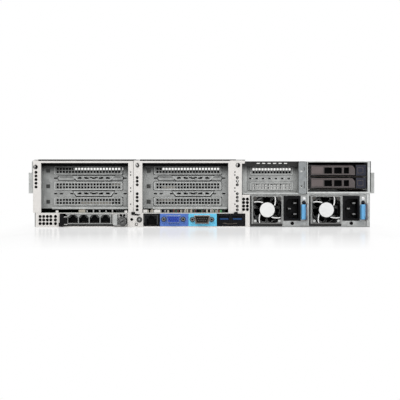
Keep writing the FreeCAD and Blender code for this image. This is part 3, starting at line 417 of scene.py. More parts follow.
def dark_steel():
    """Black-grey coated sheet."""
    return finish("dark coated steel", "coat", colours().dark, metallic=0.3, roughness=0.38,
                  bump=0.15, wear=0.35, mottle=0.15, grain_scale=1700.0)


def black_plastic():
    """Fine-grained black moulding."""
    return finish("black moulding", "coat", colours().black, roughness=0.42, bump=0.18,
                  wear=0.12, specular=0.12, mottle=0.2, grain_scale=2600.0)


def lever_grey():
    """Taupe lever moulding with a soft sheen."""
    return finish("lever grey", "coat", colours().lever, metallic=0.25, roughness=0.36, bump=0.14,
                  wear=0.6, wear_colour=(0.5, 0.47, 0.45), mottle=0.10, grain_scale=1900.0)


def latch_blue():
    """Blue touch-point plastic."""
    return finish("latch blue", "coat", colours().latch, roughness=0.35, bump=0.1, wear=0.3,
                  mottle=0.05, grain_scale=2400.0)


def port_blue(name, colour):
    """Printed plate round a port."""
    return finish(name, "coat", colour, roughness=0.4, bump=0.08, wear=0.2, mottle=0.06,
                  grain_scale=1800.0)


def circuit_board():
    """Green board with tracks."""
    return finish("circuit board", "circuit", colours().board, bump=0.3, wear=0.2,
                  wear_colour=(0.35, 0.38, 0.2), coat=0.3)


def nickel():
    """Bright plated shells."""
    return finish("nickel plate", "brushed", colours().nickel, metallic=0.9, bump=0.06, wear=0.3,
                  wear_colour=(0.85, 0.84, 0.82), contrast=0.10)


def aluminium():
    """Machined aluminium."""
    return finish("machined aluminium", "brushed", (0.62, 0.63, 0.64), metallic=0.85, bump=0.08,
                  wear=0.3, wear_colour=(0.85, 0.85, 0.85), contrast=0.14)


def hub_white():
    """Paper label disc, left bare."""
    return finish("hub label", "coat", colours().hub, roughness=0.55, bump=0.05, wear=0.15,
                  mottle=0.02, grain_scale=900.0)


def lit(name, colour, glow):
    """A surface inside the slots that glows with painted light, standing in for the light from above that
    reaches it.
    """
    made = finish(name, "coat", colour, roughness=0.6, bump=0.05, wear=0.0, mottle=0.12,
                  grain_scale=700.0)
    surface = made.node_tree.nodes["Principled BSDF"]
    # The emission is painted light: these surfaces are no lamps.
    surface.inputs["Emission Color"].default_value = (1.0, 1.0, 0.98, 1.0)
    surface.inputs["Emission Strength"].default_value = glow
    return made


def simple_coat(name, colour, roughness, mottle, wear, specular):
    """A moulded or printed finish of one colour with its own grain."""
    return finish(name, "coat", colour, roughness=roughness, bump=0.1, wear=wear, specular=specular,
                  mottle=mottle, grain_scale=1900.0)


def dulled_brass():
    """Tarnished brass of contacts and shells."""
    return finish("dulled brass", "brushed", (0.10, 0.083, 0.070), metallic=0.6, bump=0.08,
                  wear=0.4, wear_colour=(0.42, 0.33, 0.24), contrast=0.2)


def white_metal():
    """Bright metal with hardly any streaks."""
    return finish("white metal", "brushed", (0.80, 0.80, 0.79), metallic=0.3, bump=0.05,
                  wear=0.3, wear_colour=(0.9, 0.9, 0.89), contrast=0.06)


def dull_steel():
    """Bare steel with strong streaks."""
    return finish("dull steel", "brushed", (0.16, 0.16, 0.158), metallic=0.6, bump=0.1,
                  wear=0.6, wear_colour=(0.5, 0.5, 0.49), contrast=0.35)


def strap_zinc():
    """Greyer galvanised sheet with rubbed edges."""
    return finish("strap zinc", "spangle", (0.25, 0.265, 0.27), metallic=0.4, bump=0.05,
                  wear=0.7, wear_colour=(0.6, 0.6, 0.6), contrast=0.12)


def fan_frame_zinc():
    """Darker, finer galvanised sheet."""
    return finish("fan frame zinc", "spangle", (0.165, 0.165, 0.16), metallic=0.5, bump=0.06,
                  wear=0.5, wear_colour=(0.6, 0.6, 0.59), contrast=0.2, scale=260.0)


def pressed_rim_highlight():
    """The pressed rims of the slot covers, in zinc made paler as a painted highlight, and in the lid's
    painted shade at the top.
    """
    return finish("pressed rim", "spangle", tuple(part * 1.75 for part in colours().zinc),
                  metallic=0.3, bump=0.05, wear=0.4, wear_colour=(0.8, 0.8, 0.79),
                  lid_shadow=0.12, contrast=0.08)


# name, colour, roughness, mottle, wear and specular level
SIMPLE_COATS = {
    "handle": ("handle grey", (0.27, 0.205, 0.20), 0.42, 0.10, 0.5, 0.5),
    "grip": ("grip plate", (0.140, 0.112, 0.110), 0.30, 0.08, 0.3, 0.3),
    "navy": ("release navy", (0.012, 0.014, 0.030), 0.34, 0.2, 0.3, 0.25),
    "green": ("green part", (0.05, 0.28, 0.09), 0.4, 0.2, 0.1, 0.5),
    "dull red": ("dull red part", (0.16, 0.035, 0.03), 0.5, 0.2, 0.2, 0.5),
    "cyan": ("tongue cyan", (0.010, 0.060, 0.19), 0.4, 0.1, 0.2, 0.3),
    "video_face": ("video insert", (0.035, 0.085, 0.50), 0.45, 0.1, 0.1, 0.3),
    "serial_face": ("serial insert", (0.026, 0.018, 0.014), 0.5, 0.2, 0.3, 0.3),
    # The band, shade and line finishes colour dark parts and are also laid on as painted shade; the shade
    # finish also makes grey lines of painted highlight on black.
    "band": ("shaded band", (0.034, 0.034, 0.033), 0.6, 0.3, 0.1, 0.15),
    "shade": ("dark grey steel and painted shade", (0.060, 0.060, 0.058), 0.5, 0.25, 0.15, 0.25),
    "line": ("near black and painted shadow", (0.005, 0.005, 0.0055), 0.7, 0.2, 0.0, 0.05),
}
# name, colour and emission strength; these surfaces glow with painted light
LIT_SURFACES = {
    "daylight": ("sunlit lip", (0.9, 0.9, 0.88), 0.8),
    "pale metal with painted glow": ("pale metal with painted glow", (0.62, 0.62, 0.60), 0.30),
    "beige": ("beige laminate with painted glow", (0.42, 0.38, 0.31), 0.06),
}
MAKERS = {
    "white": white_coat, "zinc": zinc, "recess": recess_zinc, "bright zinc": bright_zinc,
    "strap": strap_zinc, "frame zinc": fan_frame_zinc, "rim": pressed_rim_highlight, "dark": dark_steel,
    "black": black_plastic, "lever": lever_grey, "latch": latch_blue, "board": circuit_board,
    "nickel": nickel, "aluminium": aluminium, "steel": dull_steel, "white metal": white_metal,
    "bronze": dulled_brass, "hub": hub_white,
    "royal": lambda: port_blue("video blue", colours().royal),
    "sky": lambda: port_blue("serial blue", colours().sky),
}
MATERIALS = {}


def material(kind):
    """The material of one finish, built once."""
    if kind not in MATERIALS:
        if kind in SIMPLE_COATS:
            MATERIALS[kind] = simple_coat(*SIMPLE_COATS[kind])
        elif kind in LIT_SURFACES:
            MATERIALS[kind] = lit(*LIT_SURFACES[kind])
        else:
            MATERIALS[kind] = MAKERS[kind]()
    return MATERIALS[kind]


# ------------------------------------------------------------------ mesh code, in millimetres
def box(mesh, x, y, z):
    """Adds a box between three spans to a mesh."""
    corners = [mesh.verts.new((px, py, pz)) for px in x for py in y for pz in z]
    for quad in ((0, 1, 3, 2), (4, 6, 7, 5), (0, 4, 5, 1), (2, 3, 7, 6), (0, 2, 6, 4), (1, 5, 7, 3)):
        mesh.faces.new([corners[i] for i in quad])


def around(centre, size):
    """The span of a size about its centre."""
    return (centre - size / 2, centre + size / 2)


def ring_points(x, z, radius, count, start=0.0):
    """Points of a regular outline in the XZ plane."""
    return [(x + radius * math.cos(start + 2 * math.pi * i / count),
             z + radius * math.sin(start + 2 * math.pi * i / count)) for i in range(count)]


def plate(mesh, outline, y, holes=()):
    """Adds a flat plate of any outline in the XZ plane, with holes right through it."""
    loops = [outline] + list(holes)
    flat = [[Vector((px, pz, 0)) for px, pz in loop] for loop in loops]
    places = [point for loop in loops for point in loop]
    near = [mesh.verts.new((px, y[0], pz)) for px, pz in places]
    far = [mesh.verts.new((px, y[1], pz)) for px, pz in places]
    for a, b, c in tessellate_polygon(flat):
        mesh.faces.new((near[a], near[b], near[c]))
        mesh.faces.new((far[c], far[b], far[a]))
    start = 0
    for loop in loops:
        for i in range(len(loop)):
            j = start + (i + 1) % len(loop)
            i += start
            mesh.faces.new((near[i], near[j], far[j], far[i]))
        start += len(loop)


def ring(mesh, outer, inner, y):
    """Adds a flat ring between two outlines that have the same number of points."""
    count = len(outer)
    loops = [[mesh.verts.new((px, depth, pz)) for px, pz in loop]
             for loop, depth in ((outer, y[0]), (inner, y[0]), (inner, y[1]), (outer, y[1]))]
    for first, second in zip(loops, loops[1:] + loops[:1]):
        for i in range(count):
            j = (i + 1) % count
            mesh.faces.new((first[i], first[j], second[j], second[i]))


def drum(mesh, x, z, radius, y, count=32, bore=0.0):
    """Adds a round bar along Y, or a tube if it has a bore."""
    if bore:
        ring(mesh, ring_points(x, z, radius, count), ring_points(x, z, bore, count), y)
    else:
        plate(mesh, ring_points(x, z, radius, count), y)


def dome(mesh, x, z, radius, rise, y, count=28, steps=4):
    """Adds a domed screw head whose rim lies at depth y."""
    rings = []
    for step in range(steps):
        angle = math.pi / 2 * step / steps
        rings.append([mesh.verts.new((px, y - rise * math.sin(angle), pz))
                      for px, pz in ring_points(x, z, radius * math.cos(angle), count)])
    top = mesh.verts.new((x, y - rise, z))
    for first, second in zip(rings, rings[1:]):
        for i in range(count):
            j = (i + 1) % count
            mesh.faces.new((first[i], first[j], second[j], second[i]))
    for i in range(count):
        mesh.faces.new((rings[-1][i], rings[-1][(i + 1) % count], top))
    mesh.faces.new(rings[0][::-1])


def rounded(x, z, radius, steps=4):
    """An XZ rectangle with round corners."""
    points = []
    corners = [(x[1] - radius, z[0] + radius, -90), (x[1] - radius, z[1] - radius, 0),
               (x[0] + radius, z[1] - radius, 90), (x[0] + radius, z[0] + radius, 180)]
    for cx, cz, start in corners:
        for i in range(steps + 1):
            angle = math.radians(start + 90 * i / steps)
            points.append((cx + radius * math.cos(angle), cz + radius * math.sin(angle)))
    return points


def rectangle(x, z):
    """An XZ rectangle."""
    return [(x[0], z[0]), (x[1], z[0]), (x[1], z[1]), (x[0], z[1])]


def grown(points, amount):
    """A convex outline moved outwards from its centre by about an amount."""
    cx = sum(px for px, _ in points) / len(points)
    cz = sum(pz for _, pz in points) / len(points)
    return [(px + math.copysign(amount, px - cx), pz + math.copysign(amount, pz - cz))
            for px, pz in points]


def piece(name, mesh, kind, body="chassis", edge=None, smooth=False, replaced=()):
    """Makes an object of a mesh in millimetres, with its material and edges, that rides on a body."""
    bmesh.ops.recalc_face_normals(mesh, faces=mesh.faces)
    bmesh.ops.scale(mesh, vec=(MM, MM, MM), verts=mesh.verts)
    data = bpy.data.meshes.new(name)
    mesh.to_mesh(data)
    mesh.free()
    made = bpy.data.objects.new(name, data)
    bpy.context.scene.collection.objects.link(made)
    data.materials.append(material(kind))
    width = sizes().edge if edge is None else edge * MM
    if width:
        bevel = made.modifiers.new("edges", "BEVEL")
        bevel.width = width
        bevel.segments = 2
        bevel.limit_method = "ANGLE"
        bevel.angle_limit = math.radians(50)
    if smooth:
        data.shade_smooth()
        data.set_sharp_from_angle(angle=math.radians(40))
    if replaced:
        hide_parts(*replaced)
    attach(made, body)
    return made


# ------------------------------------------------------------------ places, some worked out from the nodes and some given
CAGE_SHEET = 1.0
WINDOW_1 = (low("riser_1_cage").x + CAGE_SHEET, high("riser_1_cage").x - CAGE_SHEET)
WINDOW_2 = (low("riser_2_cage").x + CAGE_SHEET, high("riser_2_cage").x - CAGE_SHEET)
WINDOW_3 = (low("riser_3_cage").x, high("riser_3_cage").x)
CAGE_FOOT = low("riser_1_cage").z
SLOT_Z = [CAGE_FOOT + 9.0 + SLOT_PITCH * step for step in range(3)]
LOW_SLOT_Z = [low("riser_3_cage").z + 10.0 + SLOT_PITCH * step for step in range(2)]
SUPPLY_LEFT = [low("psu_%d_case" % number).x for number in (1, 2)]
FAN_X = 22.3
FAN_Z = middle("psu_1_fan_frame", "z") + 0.5
JACK_X = [low("nic_jacks").x + 6.6 + JACK_PITCH * index for index in range(4)]
VIDEO = (middle("video_port", "x") - 0.15, 10.3)
SERIAL = (middle("serial_port", "x") - 0.15, 10.0)
LEVER_LEFT = low("rear_lever_1").x
LEVER_Z = [middle("rear_lever_%d" % number, "z") for number in (1, 2)]
BUTTON = (middle("uid_button", "x"), middle("uid_button", "z"))
COLUMN_1_X = (low("riser_2_frame").x - 4.4, low("riser_2_frame").x + 4.7)
COLUMN_2_X = high("riser_2_frame").x - 9.5
PORT_Z = (1.2, 17.6)               # height of the blue plates
PLATE_SHIFT = 1.2                  # from the CAD's border between the plates to the one shown
COVER_DEPTH = 18.8                 # the covers' perforated faces
GROOVE_DEPTH = deep(19.7, 20.1)
LIP_DEPTH = deep(22.6, 23.2)
CARD_DEPTH = deep(22.8, 23.4)
BACK_DEPTH = deep(24.4, 24.8)
FLAP_SHIFT = 9.8                   # from a window's middle to its flaps' middle
FLAP_HALVES = (22.5, 27.3)         # half a flap's width, at its foot and at its head
CONTACT_PITCH = 1.02
NUT_SPREAD = 12.5                  # from a D connector's centre to its nuts
RESET_HOLE = (-84.0, 3.7)
MODULE_SCREW = (-101.9, 7.7)
RELEASE_X = 205.1
LAMP = (69.6, 31.6)                # from a supply's left side and from the base
FAN_MOUTH = (18.2, 16.9)           # half the mouth's width and height
FAN_MOUTH_RADIUS = 20.8


# ------------------------------------------------------------------ CAD nodes' finishes
NODE_FINISH = {
    "chassis_tray": "zinc", "divider_bracket": "bright zinc", "inner_rails": "bright zinc",
    "rack_ears": "dark", "riser_1_cage": "recess", "riser_2_cage": "recess", "riser_3_cage": "recess",
    "riser_cards": "board", "management_port": "black", "usb_ports": "black", "psu_cage": "bright zinc",
    "rear_drive_cage": "bright zinc", "motherboard": "board", "memory_modules": "board",
    "heat_sinks": "aluminium", "air_baffle": "black", "fan_cage": "black",
    "front_drive_cage": "zinc", "drive_backplanes": "board", "top_cover": "zinc",
    "cover_latch": "latch", "nic_faceplate": "nickel", "nic_jacks": "nickel", "nic_board": "board",
    "nic_thumbscrew": "steel", "nic_lever": "black", "uid_button": "nickel",
    "power_button": "nickel", "video_port": "royal", "serial_port": "sky", "slot_covers": "zinc",
    "rear_panel": "white", "riser_1_frame": "white", "riser_2_frame": "white",
}
NUMBERED_FINISH = {
    "psu_%d_case": ("zinc", 2), "psu_%d_fan_frame": ("frame zinc", 2), "psu_%d_rotor": ("black", 2),
    "psu_%d_inlet": ("black", 2), "psu_%d_latch": ("latch", 2), "rear_drive_%d": ("dark", 2),
    "rear_lever_%d": ("lever", 2), "system_rotor_%d": ("black", 4), "front_drive_%d": ("dark", 8),
}


class SERVER_OT_finishes(bpy.types.Operator):
    """Gives every CAD node its finish."""
    bl_idname = "server.finishes"
    bl_label = "Finishes"

    def execute(self, context):
        wanted = dict(NODE_FINISH)
        for pattern, (kind, count) in NUMBERED_FINISH.items():
            for number in range(1, count + 1):
                wanted[pattern % number] = kind
        for node, kind in wanted.items():
            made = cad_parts[node]
            made.data.materials.clear()
            made.data.materials.append(material(kind))
        return {"FINISHED"}


# ------------------------------------------------------------------ stage
class SERVER_OT_stage(bpy.types.Operator):
    """Sets the floor, the lights, the world and the camera."""
    bl_idname = "server.stage"
    bl_label = "Stage"

    def execute(self, context):
        scene = context.scene
        scene.view_settings.view_transform = "Standard"
        self.floor()
        self.world(scene)
        settings = scene.server_stage
        rear = REAR * MM
        self.lamp("key", (-0.5, -2.3, 1.7), (0, rear, 0.05), 1.6, settings.key * 3.4)
        self.lamp("fill", (0.9, -2.4, 0.5), (0, rear, 0.04), 1.5, settings.key * 1.3)
        self.lamp("top", (0.0, 0.2, 1.9), (0, 0, 0), 2.2, settings.key * 2.2)
        self.lamp("front", (0.3, 2.2, 1.0), (0, -rear, 0.04), 1.6, settings.key * 1.6)
        self.camera(scene, settings)
        return {"FINISHED"}

    def floor(self):
        """A pale glossy floor that still takes the shadow."""
        mesh = bmesh.new()
        for place in ((-6, -6, 0), (6, -6, 0), (6, 6, 0), (-6, 6, 0)):
            mesh.verts.new(place)
        mesh.faces.new(mesh.verts)
        data = bpy.data.meshes.new("floor")
        mesh.to_mesh(data)
        mesh.free()
        made = bpy.data.objects.new("floor", data)
        bpy.context.scene.collection.objects.link(made)
        shade = bpy.data.materials.new("floor")
        shade.use_nodes = True
        tree = shade.node_tree
        surface = tree.nodes["Principled BSDF"]
        place = add(tree, "ShaderNodeTexCoord")
        cloud = noise(tree, place.outputs["Object"], 3.0, 2.0)
        surface.inputs["Base Color"].default_value = (0.86, 0.86, 0.86, 1)
        link(tree, remap(tree, cloud.outputs["Fac"], 0.09, 0.12), surface.inputs["Roughness"])
        bright = add(tree, "ShaderNodeEmission", values={"Color": (1, 1, 1, 1), "Strength": 1.0})
        path = add(tree, "ShaderNodeLightPath")
        blend = add(tree, "ShaderNodeMixShader")
        share = add(tree, "ShaderNodeMath", operation="MULTIPLY")
        link(tree, path.outputs["Is Camera Ray"], share.inputs[0])
        link(tree, self.floor_white(tree, place.outputs["Object"]), share.inputs[1])
        link(tree, share.outputs[0], blend.inputs[0])
        link(tree, surface.outputs[0], blend.inputs[1])
        link(tree, bright.outputs[0], blend.inputs[2])
        link(tree, blend.outputs[0], tree.nodes["Material Output"].inputs["Surface"])
        data.materials.append(shade)

    def floor_white(self, tree, vector):
        """How white the floor is: grey under the server, pure white away from it."""
        parts = add(tree, "ShaderNodeSeparateXYZ")
        link(tree, vector, parts.inputs[0])
        rear = REAR * MM
        near = remap(tree, parts.outputs["Y"], 1.0, 0.62, rear - 0.50, rear - 0.20)
        far = remap(tree, parts.outputs["Y"], 0.62, 1.0, -rear + 0.05, -rear + 0.45)
        across = add(tree, "ShaderNodeMath", operation="ABSOLUTE")
        link(tree, parts.outputs["X"], across.inputs[0])
        side = remap(tree, across.outputs[0], 0.62, 0.985, 0.19, 0.25)
        ends = add(tree, "ShaderNodeMath", operation="MAXIMUM")
        link(tree, near, ends.inputs[0])
        link(tree, far, ends.inputs[1])
        most = add(tree, "ShaderNodeMath", operation="MAXIMUM")
        link(tree, ends.outputs[0], most.inputs[0])
        link(tree, side, most.inputs[1])
        return most.outputs[0]

    def world(self, scene):
        """White to the camera and to reflections, soft grey light elsewhere."""
        world = bpy.data.worlds.new("soft room")
        scene.world = world
        world.use_nodes = True
        tree = world.node_tree
        back = tree.nodes["Background"]
        path = add(tree, "ShaderNodeLightPath")
        seen = add(tree, "ShaderNodeMath", operation="MAXIMUM")
        link(tree, path.outputs["Is Camera Ray"], seen.inputs[0])
        link(tree, path.outputs["Is Transmission Ray"], seen.inputs[1])
        shine = add(tree, "ShaderNodeMath", operation="MULTIPLY_ADD", use_clamp=True)
        link(tree, path.outputs["Is Glossy Ray"], shine.inputs[0])
        shine.inputs[1].default_value = 0.75
        link(tree, seen.outputs[0], shine.inputs[2])
        level = remap(tree, shine.outputs[0], context_light(), 1.0)
        back.inputs["Color"].default_value = (1, 1, 1, 1)
        link(tree, level, back.inputs["Strength"])

    def lamp(self, name, place, target, size, power):
        """A large soft light that faces a target."""
        light = bpy.data.lights.new(name, "AREA")
        light.size = size
        light.energy = power
        made = bpy.data.objects.new(name, light)
        made.location = place
        made.rotation_euler = (Vector(target) - Vector(place)).to_track_quat("-Z", "Y").to_euler()
        bpy.context.scene.collection.objects.link(made)

    def camera(self, scene, settings):
        """Looks at the rear face from about its middle height, a touch downwards."""
        data = bpy.data.cameras.new("camera")
        made = bpy.data.objects.new("camera", data)
        scene.collection.objects.link(made)
        made.location = (-0.00194, REAR * MM - settings.distance, settings.camera_height)
        aim = Vector((-0.00194, REAR * MM, 0.0351))
        made.rotation_euler = (aim - made.location).to_track_quat("-Z", "Y").to_euler()
        data.angle = 2 * math.atan(settings.view_width / 2 / settings.distance)
        data.clip_end = 50
        scene.camera = made


def context_light():
    """Strength of the light that comes from all round."""
    return bpy.context.scene.server_stage.ambient


# ------------------------------------------------------------------ slots
class SERVER_OT_slots(bpy.types.Operator):
    """Makes the pressed slot covers and the trim of the bars between them."""
    bl_idname = "server.slots"
    bl_label = "Slots"

    def execute(self, context):
        covers = bmesh.new()
        rims = bmesh.new()
        backs = bmesh.new()
        wide = sizes().hole_pitch / MM
        for window, start, pitch in ((WINDOW_1, 18.9, wide), (WINDOW_2, 18.7, wide - 0.05)):
            for z in SLOT_Z:
                self.cover(covers, rims, window[0] + start, z, 21, pitch)
                if window is WINDOW_1:
                    self.patch(covers, window[0], z)
                box(backs, (window[0] + 14, window[1] - 4), BACK_DEPTH, around(z, 9.6))
        for z in LOW_SLOT_Z:
            self.cover(covers, rims, WINDOW_3[0] + 15.2, z, 13, wide - 0.09)
            box(covers, (WINDOW_3[0] + 6.6, WINDOW_3[0] + 10.7), deep(19.5, 19.9), around(z, 11.2))
            box(backs, (WINDOW_3[0] + 9, WINDOW_3[1] - 8), BACK_DEPTH, around(z, 9.6))
        piece("slot_cover_panels", covers, "recess", edge=0.12,
              replaced=["slot_covers"])
        piece("slot_cover_rim_highlights", rims, "rim", edge=0.1)
        piece("slot_shade", backs, "line", edge=0)
        self.bars()
        self.recess()
        return {"FINISHED"}

    def cover(self, mesh, rims, first, z, columns, pitch):
        """One cover: the perforated face, its walls, the flange behind and the rim in paler zinc, a
        painted highlight.
        """
        hole = sizes().hole / MM
        last = first + pitch * (columns - 1)
        face = (first - 4.6, last + 4.3)
        tall = around(z, 10.4)
        near = deep(COVER_DEPTH)[0]
        holes = [rectangle(around(first + pitch * i, hole), around(z + side * HOLE_ROWS / 2, hole))
                 for i in range(columns) for side in (-1, 1)]
        outline = rounded(face, tall, 1.6)
        plate(mesh, outline, (near, near + 0.4), holes)
        inner = rounded((face[0] + 0.8, face[1] - 0.8), (tall[0] + 0.8, tall[1] - 0.8), 1.0)
        ring(mesh, outline, inner, (near + 0.4, near + 2.2))
        ring(rims, rounded((face[0] - 0.1, face[1] + 0.1), (tall[0] - 0.1, tall[1] + 0.1), 1.7),
             rounded((face[0] + 0.9, face[1] - 0.9), (tall[0] + 0.75, tall[1] - 0.75), 1.0),
             (near - 0.3, near + 0.3))

    def patch(self, mesh, left, z):
        """The cover's side flange, and the sheet round the punched square on the left."""
        box(mesh, (left + 104.4, left + 109.2), deep(19.5, 19.9), around(z, 11.2))
        box(mesh, (left + 3.4, left + 13.0), deep(19.9, 20.2), around(z - 0.5, 7.6))

    def bars(self):
        """Shadow grooves round the flaps and ovals, and paler strips of painted highlight on the edges of
        the flaps.
        """
        grooves = bmesh.new()
        edges = bmesh.new()
        for window in (WINDOW_1, WINDOW_2):
            for lower, upper in zip(SLOT_Z, SLOT_Z[1:]):
                self.flap(grooves, edges, sum(window) / 2 + FLAP_SHIFT, (lower + upper) / 2)
            for span in ((window[0] + 19.4, window[0] + 41.0), (window[1] - 22.6, window[1] - 8.2)):
                self.oval(grooves, span, (SLOT_Z[1] + SLOT_Z[2]) / 2)
        piece("bar_grooves", grooves, "line", edge=0)
        piece("flap_highlights", edges, "bright zinc", edge=0.15)

    def flap(self, grooves, edges, centre, z):
        """One flap of a bar: its groove, its six slits and the paler strips of painted highlight along its
        edges.
        """
        foot, head = FLAP_HALVES
        outline = [(centre - foot, z - 3), (centre + foot, z - 3), (centre + head, z + 3),
                   (centre - head, z + 3)]
        ring(grooves, grown(outline, 1.0), grown(outline, 0.02), GROOVE_DEPTH)
        for step in range(6):
            slit = around(centre + 7.2 * (step - 2.5), 3.4)
            box(grooves, slit, deep(18.7, 19.0), around(z + 0.9, 1.3))
        # Paler strips on the slanted ends and along the top and foot: painted highlight.
        for side in (-1, 1):
            below = centre + side * foot
            above = centre + side * head
            plate(edges, [(below, z - 2.9), (above, z + 2.9), (above - side * 1.7, z + 2.9),
                          (below - side * 1.7, z - 2.9)], deep(18.85, 19.3))
        box(edges, (centre - 25.4, centre + 25.4), deep(18.9, 19.2), (z + 2.2, z + 3.0))
        box(edges, (centre - 21.8, centre + 21.8), deep(18.9, 19.2), (z - 3.0, z - 2.3))

    def oval(self, grooves, span, z):
        """The groove round one oval, and the thin line in it."""
        tall = (z - 2.7, z + 2.7)
        outer = rounded((span[0] - 0.8, span[1] + 0.8), (tall[0] - 0.7, tall[1] + 0.7), 2.2)
        ring(grooves, outer, rounded(span, tall, 1.6), GROOVE_DEPTH)
        box(grooves, (span[0] + 2.2, span[1] - 2.2), deep(19.0, 19.3), around(z + 1.3, 0.7))

    def recess(self):
        """Painted shade in the risers: a near-black band over each slot plate for the gap and the lid's
        shadow, a dark grey strip under it, dark squares for the punched holes, and the low riser's dark
        band under the lid.
        """
        dark = bmesh.new()
        shade = bmesh.new()
        for window, square in ((WINDOW_1, 6.3), (WINDOW_2, 7.0)):
            # Near-black band: painted shadow of the lid over the slot plate, with the gap behind.
            box(dark, (window[0] + 0.3, window[1] - 0.3), deep(19.2, 19.6),
                (SLOT_Z[2] + 5.9, FRAME_TOP - 3.7))
            # Dark grey strip: the softer lower edge of that painted shadow.
            box(shade, (window[0] + 1.2, window[1] - 1), deep(19.6, 19.95),
                (SLOT_Z[2] + 4.7, SLOT_Z[2] + 6.0))
            for z in SLOT_Z:
                # Dark squares: the dark of each punched hole, painted on.
                box(shade, around(window[0] + square, 5.0), deep(19.82, 20.1), around(z - 0.5, 5.0))
        band = bmesh.new()
        # The low riser's top band: painted shadow under the lid.
        box(band, (WINDOW_3[0] + 1.0, WINDOW_3[1] - 1.0), deep(8.6, 8.95), (79.6, 84.9))
        piece("low_riser_band", band, "band", edge=0.1)
        # The six dashes glow with painted light.
        piece("low_riser_lit_dashes", self.dashes(), "pale metal with painted glow", edge=0)
        piece("recess_gap_shadows", dark, "line", edge=0)
        piece("recess_shade", shade, "shade", edge=0.15)

    def dashes(self):
        """The six slits at the top of the low riser, pale and glowing with painted light, set in the
        painted shade there.
        """
        mesh = bmesh.new()
        for index in range(6):
            box(mesh, around(73.6 + 7.1 * index, 4.0), deep(8.4, 8.62), around(82.6, 1.1))
        return mesh


